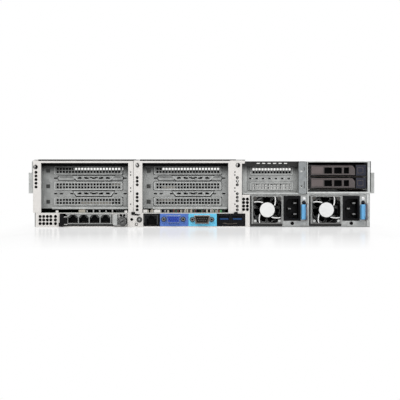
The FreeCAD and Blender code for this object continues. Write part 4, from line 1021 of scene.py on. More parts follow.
# ------------------------------------------------------------------ small hardware on the white frames
class SERVER_OT_hardware(bpy.types.Operator):
    """Makes the frame screws, clips, punched marks and the pale lips behind the slots, which glow with
    painted light.
    """
    bl_idname = "server.hardware"
    bl_label = "Hardware"

    def execute(self, context):
        self.screws()
        self.clips()
        self.marks()
        self.lips()
        self.boards()
        return {"FINISHED"}

    def screws(self):
        """Slotted pan heads at the tops of the white columns, each in a dark half ring of painted shade.
        """
        heads = bmesh.new()
        shade = bmesh.new()
        radius = sizes().screw / MM
        for x, z, turn, wide in ((-214.2, 77.7, 20, 1.0), (-83.2, 79.9, 75, 0.35), (47.0, 80.0, 80, 1.0)):
            dome(heads, x, z, radius * 0.86, 0.8, deep(0)[0])
            half = [(x + side * math.cos(a), z + side * math.sin(a)) for side, start, end in
                    ((radius * 0.98, -95, 100), (radius * (0.9 - wide), 100, -95))
                    for a in [math.radians(start + (end - start) * i / 14) for i in range(15)]]
            plate(shade, half, deep(-0.95, 0.2))
            if wide == 1.0:
                drum(shade, x, z, radius * 1.02, deep(-0.12, 0.2), 28, radius * 0.87)
            angle = math.radians(turn)
            slot = [(x + px * math.cos(angle) - pz * math.sin(angle),
                     z + px * math.sin(angle) + pz * math.cos(angle))
                    for px, pz in ((-1.7, -0.3), (1.7, -0.3), (1.7, 0.3), (-1.7, 0.3))]
            plate(shade, slot, deep(-0.95, -0.5))
        piece("frame_screw_heads", heads, "nickel", edge=0, smooth=True)
        piece("frame_screw_shade", shade, "line", edge=0)

    def clips(self):
        """Black clips at the feet of the columns, each with a black tail of painted shadow, and white tabs
        on the sills.
        """
        mesh = bmesh.new()
        for x, wide in ((-88.2, 4.8), (44.4, 4.6)):
            outline = rounded(around(x, wide), (15.8, 19.8), 0.9)
            plate(mesh, outline, deep(-0.9, 0.3))
            # The tail to the right of each clip is painted shadow.
            foot = [(x + 2.0, 15.4), (x + 6.5, 14.9), (x + 9.5, 16.3), (x + 2.0, 17.4)]
            plate(mesh, foot, deep(-0.2, 0.3))
        piece("column_clips", mesh, "black")
        tabs = bmesh.new()
        for x in (-186.4, -97.6):
            plate(tabs, rounded(around(x, 3.6), (18.4, 21.6), 0.8), deep(0.1, 1.2))
        piece("sill_tabs", tabs, "white")

    def marks(self):
        """Small square punches beside the slots, and dark rings of painted shade round the round holes."""
        mesh = bmesh.new()
        for x in (COLUMN_1_X[0] + 0.6, COLUMN_2_X - 3.4):
            for z in (29.7, 46.3, 50.6, 67.4, 71.2):
                box(mesh, around(x, 1.5), deep(-0.05, 0.2), around(z, 1.5))
        self.hole_edges(mesh)
        piece("column_marks", mesh, "line", edge=0)

    def hole_edges(self, mesh):
        """Dark rings round the round vents: painted shade that makes the holes look wider and darker."""
        grids = [([-208.4, -203.8, -199.1, -194.6, -188.6], [13.8, 9.3, 4.6], 0.3, 1.35),
                 ([54.4, 59.2], [22.8, 27.3, 31.8, 36.2], 0.3, 1.35),
                 ([-213.6], [52 + 4.7 * step for step in range(5)], 0.0, 1.25),
                 ([COLUMN_1_X[1], COLUMN_2_X - 0.2], [22.4, 27, 34, 38.6, 43.2, 54.8, 59.4, 64], 0.0, 1.2),
                 ([-90.1], [10.0], 0.3, 1.2), ([-104.1, -99.8], [15.3], 0.2, 1.0)]
        for columns, rows, depth, inner in grids:
            for x in columns:
                for z in rows:
                    drum(mesh, x, z, inner + 0.68, deep(depth - 0.06, depth + 0.3), 18, inner)

    def lips(self):
        """Pale lips behind the top rows of holes, glowing with painted light for the light from above that
        reaches them.
        """
        mesh = bmesh.new()
        top = SLOT_Z[2] + HOLE_ROWS / 2
        for x in ((-167.4, -102.6), (-51.6, 25.0)):
            box(mesh, x, LIP_DEPTH, around(top, 3.4))
        upper = LOW_SLOT_Z[1] + HOLE_ROWS / 2
        box(mesh, (WINDOW_3[0] + 13.0, WINDOW_3[0] + 65.4), LIP_DEPTH, around(upper, 3.4))
        for step in range(7):
            box(mesh, around(WINDOW_3[0] + 14.6 + 8.4 * step, 3.2), LIP_DEPTH,
                around(sum(LOW_SLOT_Z) / 2, 1.6))
        piece("sunlit_lips", mesh, "daylight", edge=0)

    def boards(self):
        """What shows through the lower holes: card edges and the metal of cards behind, both glowing with
        painted light.
        """
        beige = bmesh.new()
        box(beige, (-158.0, -118.0), CARD_DEPTH, around(SLOT_Z[0] - HOLE_ROWS / 2, 3.2))
        box(beige, (-118.5, -103.0), CARD_DEPTH, around(SLOT_Z[1] + HOLE_ROWS / 2, 3.2))
        box(beige, (-51.0, -34.0), CARD_DEPTH, around(SLOT_Z[1] - HOLE_ROWS / 2, 3.0))
        box(beige, (-55.0, -36.0), CARD_DEPTH, around(SLOT_Z[0] + HOLE_ROWS / 2, 3.0))
        piece("card_edges_behind", beige, "beige", edge=0)
        grey = bmesh.new()
        draws = random.Random(bpy.context.scene.server_stage.seed)
        x = WINDOW_3[0] + 10.4
        while x < WINDOW_3[0] + 64:
            wide = draws.uniform(1.6, 5.2)
            tall = draws.uniform(5.4, 7.4)
            box(grey, (x, x + wide), deep(21.4, 22.0), (LOW_SLOT_Z[0] - 3.6, LOW_SLOT_Z[0] - 3.6 + tall))
            x += wide + draws.uniform(0.5, 1.3)
        piece("glowing_metal_behind", grey, "pale metal with painted glow", edge=0.1)


# ------------------------------------------------------------------ parts that show under the risers
class SERVER_OT_strip(bpy.types.Operator):
    """Makes the small parts on the edge of the board, seen between the ports and the risers."""
    bl_idname = "server.strip"
    bl_label = "Strip Under Risers"

    def execute(self, context):
        draws = random.Random(context.scene.server_stage.seed)
        floor = SHELF + 0.2
        parts = {kind: bmesh.new() for kind in ("white", "beige", "board", "dull red", "navy", "green",
                                               "nickel", "line")}
        box(parts["board"], (WINDOW_2[0] + 0.6, WINDOW_2[1] - 0.6), deep(1.7, 26), (floor - 0.8, floor))
        box(parts["board"], (WINDOW_1[0] + 4, WINDOW_1[1] - 0.6), deep(6, 26), (floor - 0.8, floor))
        for span in ((-75.4, -70.0), (-61.2, -53.2)):
            box(parts["white"], span, deep(2, 9), (floor, floor + 3.8))
        for start_x, end_x in ((-69.6, -61.6), (-52.8, 23.2)):
            x = start_x
            while x < end_x:
                wide = draws.uniform(0.8, 2.3)
                tall = draws.uniform(3.0, 4.7)
                kind = draws.choice(["beige", "line", "nickel", "line", "dull red", "navy", "beige",
                                     "board"])
                start = draws.uniform(2.2, 4.0)
                box(parts[kind], (x, x + wide), deep(start, start + 4), (floor, floor + tall))
                x += wide + draws.uniform(0.15, 0.6)
        box(parts["green"], (23.6, 26.2), deep(2, 6), (floor, floor + 3.4))
        box(parts["beige"], (-159.4, -151.0), deep(7, 13), (floor, floor + 3.6))
        for step in range(9):
            box(parts["line" if step % 2 else "nickel"], around(-148.4 + 4.1 * step, 1.7), deep(7, 11),
                (floor, floor + 2.6 + (step % 3) * 0.5))
        # The beige parts glow faintly with painted light, as the beige finish does everywhere.
        for kind, mesh in parts.items():
            piece("board_parts_" + kind.replace(" ", "_"), mesh, kind, edge=0.12)
        self.sills()
        return {"FINISHED"}

    def sills(self):
        """The folded feet of the riser cages, bright along their front edge."""
        mesh = bmesh.new()
        for window in (WINDOW_1, WINDOW_2):
            box(mesh, (window[0] + 12.5, window[1] - 1.0), deep(10.6, 11.4),
                (CAGE_FOOT - 1.0, CAGE_FOOT + 1.7))
        piece("cage_sills", mesh, "bright zinc", edge=0.15)


# ------------------------------------------------------------------ ports
def jack_outline(x, floor, width, height):
    """The stepped mouth of a modular jack, latch side up."""
    half = width / 2
    steps = [(-half, 0), (half, 0), (half, 0.62), (0.30 * width, 0.62), (0.30 * width, 0.82),
             (0.17 * width, 0.82), (0.17 * width, 1), (-0.17 * width, 1), (-0.17 * width, 0.82),
             (-0.30 * width, 0.82), (-0.30 * width, 0.62), (-half, 0.62)]
    return [(x + px, floor + pz * height) for px, pz in steps]


def d_outline(centre, width, height):
    """The trapezoid of a D connector, wide side up."""
    half = width / 2
    slope = height * 0.18
    x, z = centre
    return [(x - half, z + height / 2), (x - half + slope, z - height / 2),
            (x + half - slope, z - height / 2), (x + half, z + height / 2)]


def jack_lining(mesh, contacts, x, floor, width, height, depth):
    """The black inside of a jack, and its eight spring contacts."""
    outline = jack_outline(x, floor, width, height)
    inner = jack_outline(x, floor + 0.35, width - 0.7, height - 0.7)
    ring(mesh, outline, inner, depth)
    plate(mesh, inner, (depth[1] - 0.5, depth[1]))
    for i in range(8):
        place = x + (i - 3.5) * CONTACT_PITCH
        box(contacts, around(place, 0.32), (depth[0] + 2.0, depth[1] - 0.6), (floor + 0.4, floor + 0.9))


class SERVER_OT_ports(bpy.types.Operator):
    """Makes the connectors' shells, inserts, contacts and nuts."""
    bl_idname = "server.ports"
    bl_label = "Ports"

    def execute(self, context):
        self.management()
        self.video()
        self.serial()
        self.usb()
        self.finder()
        return {"FINISHED"}

    def management(self):
        """Contacts in the black modular jack, and grey lines of painted highlight on the rims of its
        mouth.
        """
        contacts = bmesh.new()
        centre = low("management_port").x + 10.5
        for i in range(8):
            box(contacts, around(centre + (i - 3.5) * CONTACT_PITCH, 0.35), deep(2.5, 11.5), (3.0, 3.6))
        piece("management_contacts", contacts, "bronze", edge=0)
        # Grey lines on the black housing: painted highlight on the edges of the mouth.
        rims = bmesh.new()
        left, right = low("management_port").x, high("management_port").x
        box(rims, (left + 1.2, left + 2.0), deep(-0.06, 0.2), (6.0, 16.0))
        box(rims, (right - 3.6, right - 2.6), deep(-0.06, 0.2), (4.0, 16.0))
        box(rims, (left + 2.0, right - 3.6), deep(-0.06, 0.2), (15.4, 16.0))
        piece("management_rim_highlights", rims, "shade", edge=0.1)

    def nuts(self, name, centre):
        """Two hexagonal standoffs with dark bores beside a D connector."""
        mesh = bmesh.new()
        bores = bmesh.new()
        for side in (-1, 1):
            x = centre[0] + side * NUT_SPREAD
            ring(mesh, ring_points(x, centre[1], 2.78, 6), ring_points(x, centre[1], 1.25, 6),
                 deep(-4.6, 0))
            plate(bores, ring_points(x, centre[1], 1.3, 6), deep(-3.9, -3.6))
            ring(bores, ring_points(x, centre[1], 3.3, 20), ring_points(x, centre[1], 2.7, 20),
                 deep(-0.2, 0.1))
        piece(name + "_nuts", mesh, "steel", edge=0.15)
        piece(name + "_nut_bores", bores, "line", edge=0)

    def video(self):
        """A blue insert with fifteen sockets in a blue shell with a plated rim, on its plate."""
        plate_mesh = bmesh.new()
        span = (low("video_port").x, high("video_port").x + PLATE_SHIFT)
        plate(plate_mesh, rectangle(span, PORT_Z), deep(0.5, 1.7))
        box(plate_mesh, around(VIDEO[0], 30.0), deep(1.7, 14), (7.6, 16.4))
        piece("video_plate", plate_mesh, "royal", replaced=["video_port"])
        shell = bmesh.new()
        ring(shell, d_outline(VIDEO, 16.9, 8.3), d_outline(VIDEO, 15.7, 7.1), deep(-4.4, 0.4))
        plate(shell, rounded(around(VIDEO[0], 31.0), around(VIDEO[1], 12.2), 1.6), deep(0, 0.5),
              [d_outline(VIDEO, 16.8, 8.2)])
        piece("video_shell", shell, "royal", edge=0.15)
        rim = bmesh.new()
        ring(rim, d_outline(VIDEO, 18.2, 9.4), d_outline(VIDEO, 16.8, 8.2), deep(-1.6, 0.2))
        piece("video_rim", rim, "nickel", edge=0.15)
        insert = bmesh.new()
        holes = [ring_points(VIDEO[0] + 2.29 * (i - 2) + shift, VIDEO[1] + row * 1.98, 0.5, 10)
                 for row, shift in ((1, 0.4), (0, -0.4), (-1, 0.4)) for i in range(5)]
        plate(insert, d_outline(VIDEO, 15.6, 7.0), deep(-4.0, 0.2), holes)
        piece("video_insert", insert, "video_face", edge=0)
        back = bmesh.new()
        plate(back, d_outline(VIDEO, 15.4, 6.8), deep(0.25, 0.45))
        piece("video_shadow", back, "line", edge=0)
        self.nuts("video", VIDEO)

    def serial(self):
        """A dark shell round nine pins on a sky blue plate."""
        mesh = bmesh.new()
        span = (low("serial_port").x + PLATE_SHIFT, high("serial_port").x)
        plate(mesh, rectangle(span, PORT_Z), deep(0.5, 1.7))
        box(mesh, around(SERIAL[0], 30.0), deep(1.7, 14), (7.6, 16.4))
        plate(mesh, rounded(around(SERIAL[0], 31.0), around(SERIAL[1], 12.2), 1.6), deep(0, 0.5))
        piece("serial_plate", mesh, "sky", replaced=["serial_port"])
        rim = bmesh.new()
        ring(rim, d_outline(SERIAL, 21.4, 11.2), d_outline(SERIAL, 18.6, 9.4), deep(-1.4, 0.2))
        piece("serial_rim", rim, "nickel", edge=0.3)
        shell = bmesh.new()
        ring(shell, d_outline(SERIAL, 18.8, 9.6), d_outline(SERIAL, 16.2, 7.6), deep(-5.4, 0))
        piece("serial_shell", shell, "bronze", edge=0.2)
        face = bmesh.new()
        plate(face, d_outline(SERIAL, 16.6, 8.0), deep(-0.6, -0.1))
        piece("serial_face", face, "serial_face", edge=0)
        pins = bmesh.new()
        for count, height in ((5, 1.42), (4, -1.42)):
            for i in range(count):
                drum(pins, SERIAL[0] + 2.77 * (i - (count - 1) / 2), SERIAL[1] + height, 0.5,
                     deep(-4.6, -0.5), 10)
        piece("serial_pins", pins, "steel", edge=0, smooth=True)
        self.nuts("serial", SERIAL)

    def usb(self):
        """Thin shells and coloured tongues in the two flat sockets, and the dull trim under them."""
        shells = bmesh.new()
        tongues = bmesh.new()
        left = low("usb_ports").x
        for x in (left + 9.3, left + 26.3):
            ring(shells, rectangle(around(x, 13.1), (8.6, 14.8)), rectangle(around(x, 12.5), (8.9, 14.5)),
                 deep(-0.1, 12))
            box(tongues, around(x, 11.3), deep(0.6, 17), (9.6, 11.6))
            for i in range(4):
                box(shells, around(x + (i - 1.5) * 2.5, 1.0), deep(1.6, 9), (9.45, 9.65))
        piece("usb_shells", shells, "navy", edge=0)
        piece("usb_tongues", tongues, "cyan", edge=0.2)
        trim = bmesh.new()
        for span, z in (((left + 7.5, left + 13.0), 4.9), ((left + 13.0, left + 21.0), 4.2),
                        ((left + 21.0, left + 26.0), 4.9)):
            box(trim, span, deep(-0.12, 0.2), around(z, 0.8))
        piece("usb_trim", trim, "bronze", edge=0.15)

    def finder(self):
        """The dark ring round the finder button, the pale cap on it, and the reset hole."""
        mesh = bmesh.new()
        drum(mesh, BUTTON[0], BUTTON[1], 3.6, deep(-0.7, 0.3), 32, 2.55)
        piece("finder_ring", mesh, "shade", edge=0.1, smooth=True)
        front = low("uid_button").y
        radius = (high("uid_button").x - low("uid_button").x) / 2
        cap = bmesh.new()
        drum(cap, BUTTON[0], BUTTON[1], radius - 0.05, (front - 0.05, front + 0.3), 28, 1.45)
        piece("finder_cap_ring", cap, "shade", body="finder_button", edge=0.05,
              smooth=True)
        light = bmesh.new()
        dome(light, BUTTON[0], BUTTON[1], 1.45, 0.1, front)
        piece("finder_cap", light, "zinc", body="finder_button", edge=0, smooth=True)
        inside = bmesh.new()
        plate(inside, ring_points(*RESET_HOLE, 1.35, 18), deep(0.12, 0.3))
        piece("reset_plug", inside, "white", edge=0)
        small = bmesh.new()
        drum(small, *RESET_HOLE, 1.95, deep(-0.1, 0.2), 24, 1.4)
        piece("reset_hole_ring", small, "line", edge=0, smooth=True)


# ------------------------------------------------------------------ network module
class SERVER_OT_network(bpy.types.Operator):
    """Makes the jacks' linings and contacts, the bezel, band, dividers and corner of the module."""
    bl_idname = "server.network"
    bl_label = "Network Module"

    def execute(self, context):
        linings = bmesh.new()
        contacts = bmesh.new()
        for x in JACK_X:
            jack_lining(linings, contacts, x, 5.9, 11.8, 9.8, deep(0.05, 12.8))
        piece("network_jack_linings", linings, "black", body="network_module", edge=0)
        piece("network_jack_contacts", contacts, "bronze", body="network_module", edge=0)
        left, right = JACK_X[0] - 8.4, JACK_X[3] + 8.6
        bezel = bmesh.new()
        mouths = [jack_outline(x, 5.9, 11.8, 9.8) for x in JACK_X]
        plate(bezel, rectangle((left, right), (5.0, 16.4)), deep(-0.08, 0.2), mouths)
        piece("network_bezel", bezel, "shade", body="network_module", edge=0)
        band = bmesh.new()
        box(band, (left - 0.6, right + 2.6), deep(-0.12, 0.2), (1.4, 4.0))
        box(band, (left - 0.6, left + 1.4), deep(-0.12, 0.2), (4.0, 16.4))
        piece("network_lower_band", band, "band", body="network_module", edge=0)
        light = bmesh.new()
        for x in JACK_X:
            for side in (-1, 1):
                corner = [(x + side * 3.6, 15.9), (x + side * 6.6, 15.9), (x + side * 6.6, 12.6)]
                plate(light, corner, deep(-0.3, 0.1))
            box(light, around(x + JACK_PITCH / 2, 1.1), deep(-0.35, 0.1), (4.6, 16.2))
        box(light, around(JACK_X[0] - JACK_PITCH / 2, 0.8), deep(-0.35, 0.1), (4.6, 16.2))
        box(light, (left + 0.8, right - 0.4), deep(-0.35, 0.1), (4.3, 5.0))
        box(light, (left - 0.8, right + 1.4), deep(-0.5, 0.1), (16.2, 17.2))
        piece("network_dividers", light, "zinc", body="network_module", edge=0.1)
        self.corner()
        return {"FINISHED"}

    def corner(self):
        """The module's silver tab, the dark ring and discs at its thumbscrew, and the screw's knurls."""
        tab = bmesh.new()
        a = low("nic_faceplate")
        plate(tab, rounded((-114.0, -108.2), (2.7, 16.3), 0.8), (a.y, a.y + 0.3))
        piece("module_tab_skin", tab, "bright zinc", body="network_module", edge=0.1)
        lines = bmesh.new()
        box(lines, (-108.2, -107.5), deep(-0.1, 0.2), (2.6, 16.4))
        x, z = MODULE_SCREW
        drum(lines, x, z, 6.2, deep(-0.05, 0.2), 28, 5.3)
        for hole in (-104.4, -99.9):
            plate(lines, ring_points(hole, 15.2, 1.35, 18), deep(-0.06, 0.2))
        piece("module_corner_lines", lines, "line", body="network_module", edge=0)
        knurls = bmesh.new()
        for i in range(24):
            angle = 2 * math.pi * i / 24
            middle = (x + 5.0 * math.cos(angle), z + 5.0 * math.sin(angle))
            box(knurls, around(middle[0], 0.35), deep(-9.55, -0.6), around(middle[1], 0.35))
        front = low("nic_thumbscrew").y
        ring(knurls, ring_points(x, z, 4.1, 28), ring_points(x, z, 3.6, 28), (front - 0.05, front + 0.2))
        turned = math.radians(35)
        plate(knurls, [(x + a * math.cos(turned) - b * math.sin(turned),
                        z + a * math.sin(turned) + b * math.cos(turned))
                       for a, b in ((-3, -0.45), (3, -0.45), (3, 0.45), (-3, 0.45))],
              (front - 0.06, front + 0.2))
        piece("thumbscrew_knurls", knurls, "line", body="module_screw", edge=0)


# ------------------------------------------------------------------ power supplies
class SERVER_OT_supplies(bpy.types.Operator):
    """Makes the fan frames, hub discs, struts, screws, inlets and handle skins of the two supplies."""
    bl_idname = "server.supplies"
    bl_label = "Supplies"

    def execute(self, context):
        for number, left in enumerate(SUPPLY_LEFT, start=1):
            body = "supply_%d" % number
            self.fan(number, left, body)
            self.mouth(number, left, body)
            self.inlet(number, left, body)
            self.handle(number, left, body)
        return {"FINISHED"}

    def fan(self, number, left, body):
        """The white hub disc and its dark rim, and the guard round them."""
        x = left + FAN_X
        disc = bmesh.new()
        drum(disc, x, FAN_Z, 9.6, deep(0.45, 0.8), 48)
        piece("supply_%d_hub_disc" % number, disc, "hub", body=body, edge=0.15,
              smooth=True)
        rim = bmesh.new()
        drum(rim, x, FAN_Z, 10.9, deep(0.35, 0.85), 48, 9.75)
        piece("supply_%d_hub_rim" % number, rim, "line", body=body, edge=0.1,
              smooth=True)
        self.guard(number, x, body)

    def guard(self, number, x, body):
        """The fan's frame with its clipped mouth, the bore, the motor can, four struts and the bosses."""
        frame_mesh = bmesh.new()
        turns = [2 * math.pi * (i + 0.5) / 48 for i in range(48)]
        across, up = FAN_MOUTH
        mouth = [(x + max(-across, min(across, FAN_MOUTH_RADIUS * math.cos(turn))),
                  FAN_Z + max(-up, min(up, FAN_MOUTH_RADIUS * math.sin(turn)))) for turn in turns]
        node = "psu_%d_fan_frame" % number
        a, b = low(node), high(node)
        plate(frame_mesh, rectangle((a.x, b.x), (a.z, b.z)), (a.y, a.y + 1.6), [mouth])
        for x_side in ((a.x, a.x + 1.4), (b.x - 1.4, b.x)):
            box(frame_mesh, x_side, (a.y + 1.6, b.y), (a.z, b.z))
        for z_side in ((a.z, a.z + 1.2), (b.z - 1.2, b.z)):
            box(frame_mesh, (a.x + 1.4, b.x - 1.4), (a.y + 1.6, b.y), z_side)
        drum(frame_mesh, x, FAN_Z, 10.4, deep(0.8, 3.2), 40)
        drum(frame_mesh, x, FAN_Z, 1.5, deep(3.2, 18), 16)
        piece("supply_%d_fan_frame" % number, frame_mesh, "frame zinc", body=body,
              edge=0.2, replaced=[node])
        bore = bmesh.new()
        drum(bore, x, FAN_Z, 19.6, (a.y + 1.7, b.y - 0.2), 48, 18.4)
        piece("supply_%d_fan_bore" % number, bore, "black", body=body, edge=0,
              smooth=True)
        struts = bmesh.new()
        for quarter in range(4):
            near = []
            far = []
            for step in range(11):
                share = step / 10
                radius = 10.2 + 9.6 * share
                turn = math.radians(117 + 90 * quarter + 33 * share ** 0.8)
                wide = (2.0 - 0.2 * share) / radius / 2
                for side, points in ((-1, near), (1, far)):
                    angle = turn + side * wide
                    points.append((x + radius * math.cos(angle), FAN_Z + radius * math.sin(angle)))
            plate(struts, near + far[::-1], deep(0.4, 2.2))
        piece("supply_%d_struts" % number, struts, "white metal", body=body, edge=0.2)
        bosses = bmesh.new()
        for side_x, side_z in ((-1, -1), (1, -1)):
            cx, cz = x + side_x * 15.6, FAN_Z + side_z * 14.4
            plate(bosses, ring_points(cx, cz, 1.8, 20), deep(0.62, 0.9))
        ring(bosses, rounded((a.x + 0.5, b.x - 0.5), (a.z + 0.3, b.z - 0.3), 1.2),
             rounded((a.x + 1.1, b.x - 1.1), (a.z + 0.9, b.z - 0.9), 0.8), deep(0.7, 0.9))
        piece("supply_%d_frame_bosses" % number, bosses, "bright zinc", body=body,
              edge=0.15)

    def mouth(self, number, left, body):
        """The two screws at the upper corners of the fan's frame, and a dark strip of painted shade along
        the bottom and left of the supply.
        """
        x = left + FAN_X
        screws = bmesh.new()
        sockets = bmesh.new()
        for place in ((x - 15.6, FAN_Z + 15.0), (x + 15.4, FAN_Z + 14.4)):
            dome(screws, *place, 2.6, 0.7, deep(0.8)[0], 20)
            for turn in (25, 115):
                angle = math.radians(turn)
                along = (math.cos(angle), math.sin(angle))
                ends = [(place[0] + a * along[0] * 1.3 - b * along[1] * 0.28,
                         place[1] + a * along[1] * 1.3 + b * along[0] * 0.28)
                        for a, b in ((-1, -1), (1, -1), (1, 1), (-1, 1))]
                plate(sockets, ends, deep(0.02, 0.3))
        piece("supply_%d_screws" % number, screws, "shade", body=body, edge=0,
              smooth=True)
        piece("supply_%d_screw_drives" % number, sockets, "bronze", body=body, edge=0)
        # Dark strip along the bottom and left of the supply: painted shade.
        shade_strip = bmesh.new()
        box(shade_strip, (left + 0.2, left + 41.6), deep(0.4, 1.0), (1.3, 4.4))
        box(shade_strip, (left + 0.1, left + 1.9), deep(0.4, 1.0), (4.4, 40.4))
        piece("supply_%d_ledge" % number, shade_strip, "band", body=body, edge=0.15)

    def inlet(self, number, left, body):
        """The inlet's blades and black rim, and the pilot hole, lamp and rivet beside it."""
        blades = bmesh.new()
        for x, z in ((51.0, 23.9), (58.2, 31.0), (58.2, 16.8)):
            box(blades, around(left + x, 4.1), deep(2.95, 17.5), around(z, 2.1))
        piece("supply_%d_inlet_blades" % number, blades, "steel", body=body, edge=0.25)
        rim = bmesh.new()
        mouth = [(left + 46.4, 14.6), (left + 49.8, 11.2), (left + 62.6, 11.2), (left + 62.6, 36.6),
                 (left + 49.8, 36.6), (left + 46.4, 33.2)]
        ring(rim, grown(mouth, 0.9), mouth, deep(-0.25, 0.25))
        box(rim, (left + 47.0, left + 61.0), deep(-0.2, 0.25), (38.2, 39.4))
        piece("supply_%d_inlet_rim" % number, rim, "black", body=body, edge=0.12)
        hole = bmesh.new()
        plate(hole, ring_points(left + 54.5, 5.0, 2.3, 18), deep(0.9, 1.02))
        piece("supply_%d_pilot" % number, hole, "line", body=body, edge=0)
        lamp = bmesh.new()
        drum(lamp, left + LAMP[0], LAMP[1], 2.5, deep(0.55, 1.05), 24, 1.3)
        piece("supply_%d_lamp_ring" % number, lamp, "line", body=body, edge=0.1,
              smooth=True)
        head = bmesh.new()
        dome(head, left + 69.8, 36.9, 2.4, 0.35, deep(0.95)[0], 22)
        piece("supply_%d_rivet" % number, head, "white metal", body=body, edge=0,
              smooth=True)
        glass = bmesh.new()
        dome(glass, left + LAMP[0], LAMP[1], 1.3, 0.3, deep(0.95)[0], 18)
        piece("supply_%d_lamp" % number, glass, "navy", body=body, edge=0, smooth=True)

    def handle(self, number, left, body):
        """A soft-grey skin on the handle, following its rounded window."""
        x = (left + 71.4, left + 72.8)
        outer = [(REAR - 24.5, 15.9)] + [(REAR - 17.7 + 6.8 * math.cos(math.radians(a)),
                                          16.0 + 6.8 * math.sin(math.radians(a)))
                                         for a in range(190, 271, 10)]
        outer += [(REAR + 0.9, 8.9), (REAR + 0.9, 31.1)]
        outer += [(REAR - 17.7 + 6.8 * math.cos(math.radians(a)), 24.1 + 6.8 * math.sin(math.radians(a)))
                  for a in range(90, 181, 10)]
        window = [(REAR - 15.9, 13.1), (REAR - 5.1, 13.1), (REAR - 5.1, 26.9), (REAR - 15.9, 26.9)]
        flat = bmesh.new()
        plate(flat, outer, (x[0], x[1]), [window])
        turn = Matrix(((0, 1, 0, 0), (1, 0, 0, 0), (0, 0, 1, 0), (0, 0, 0, 1)))
        bmesh.ops.transform(flat, matrix=turn, verts=flat.verts)
        piece("supply_%d_handle_skin" % number, flat, "handle", body=body, edge=0.3)


# ------------------------------------------------------------------ rear drive bays
class SERVER_OT_bays(bpy.types.Operator):
    """Makes the grips, window frames, release panels and shelf edges of the two rear carriers."""
    bl_idname = "server.bays"
    bl_label = "Rear Bays"

    def execute(self, context):
        for number, z in enumerate(LEVER_Z, start=1):
            self.lever(number, z)
            self.release(number, z)
        self.rails()
        return {"FINISHED"}

    def lever(self, number, z):
        """On the lever: the plain grip plate, thin frames round the windows and a paler strip of painted
        highlight along the top edge.
        """
        body = "rear_bay_%d_lever" % number
        left = LEVER_LEFT
        grip = bmesh.new()
        plate(grip, rounded((left + 0.9, left + 15.6), around(z, 8.9), 0.7), deep(0.05, 0.6))
        piece("lever_%d_grip" % number, grip, "grip", body=body, edge=0.2)
        frames = bmesh.new()
        for span in ((158.5, 168.5), (171.2, 181.2), (183.7, 190.4)):
            inner = rectangle(span, around(z - 0.2, 8.0))
            ring(frames, rectangle((span[0] - 0.5, span[1] + 0.5), around(z - 0.2, 9.0)), inner,
                 deep(0.45, 1.2))
        piece("lever_%d_frames" % number, frames, "lever", body=body, edge=0.15)
        # A paler strip along the lever's top edge: painted highlight.
        edge = bmesh.new()
        plate(edge, [(left + 0.2, z + 5.3), (left + 53.4, z + 5.3), (left + 52.8, z + 6.0),
                     (left + 0.2, z + 6.0)], deep(0.4, 0.9))
        plate(edge, [(left + 53.5, z + 5.3), (left + 56.4, z + 1.8), (left + 56.4, z + 0.6),
                     (left + 52.4, z + 5.3)], deep(0.42, 0.9))
        piece("lever_%d_edge" % number, edge, "grip", body=body, edge=0.1)

    def release(self, number, z):
        """The navy release panel with its outlined button."""
        body = "rear_bay_%d" % number
        panel = bmesh.new()
        plate(panel, rounded((200.0, 212.2), around(z, 12.6), 0.8), deep(1.7, 2.0))
        piece("release_%d_panel" % number, panel, "navy", body=body, edge=0.1)
        outline = bmesh.new()
        ring(outline, rounded(around(RELEASE_X, 7.6), around(z, 7.6), 0.7),
             rounded(around(RELEASE_X, 6.4), around(z, 6.4), 0.5), deep(0.95, 1.5))
        piece("release_%d_outline" % number, outline, "lever", body=body, edge=0.1)
        button = bmesh.new()
        plate(button, rounded(around(RELEASE_X, 6.0), around(z, 5.6), 0.5), deep(0.9, 1.25))
        piece("release_%d_button" % number, button, "navy", body=body, edge=0.2)

    def rails(self):
        """Brownish edges of the shelf under each carrier, and black panels of painted shade behind the
        windows.
        """
        for number, z in enumerate(LEVER_Z, start=1):
            back = bmesh.new()
            box(back, (149.0, 199.4), deep(7.6, 9.3), around(z, 14.0))
            piece("carrier_%d_shade" % number, back, "line", body="rear_bay_%d" % number,
                  edge=0)
        mesh = bmesh.new()
        for z in (LEVER_Z[0] - 7.6, LEVER_Z[1] - 7.9):
            box(mesh, (138.2, 213.6), deep(13.2, 14.0), around(z, 0.7))
        piece("carrier_shelf_edges", mesh, "bronze", edge=0.1)


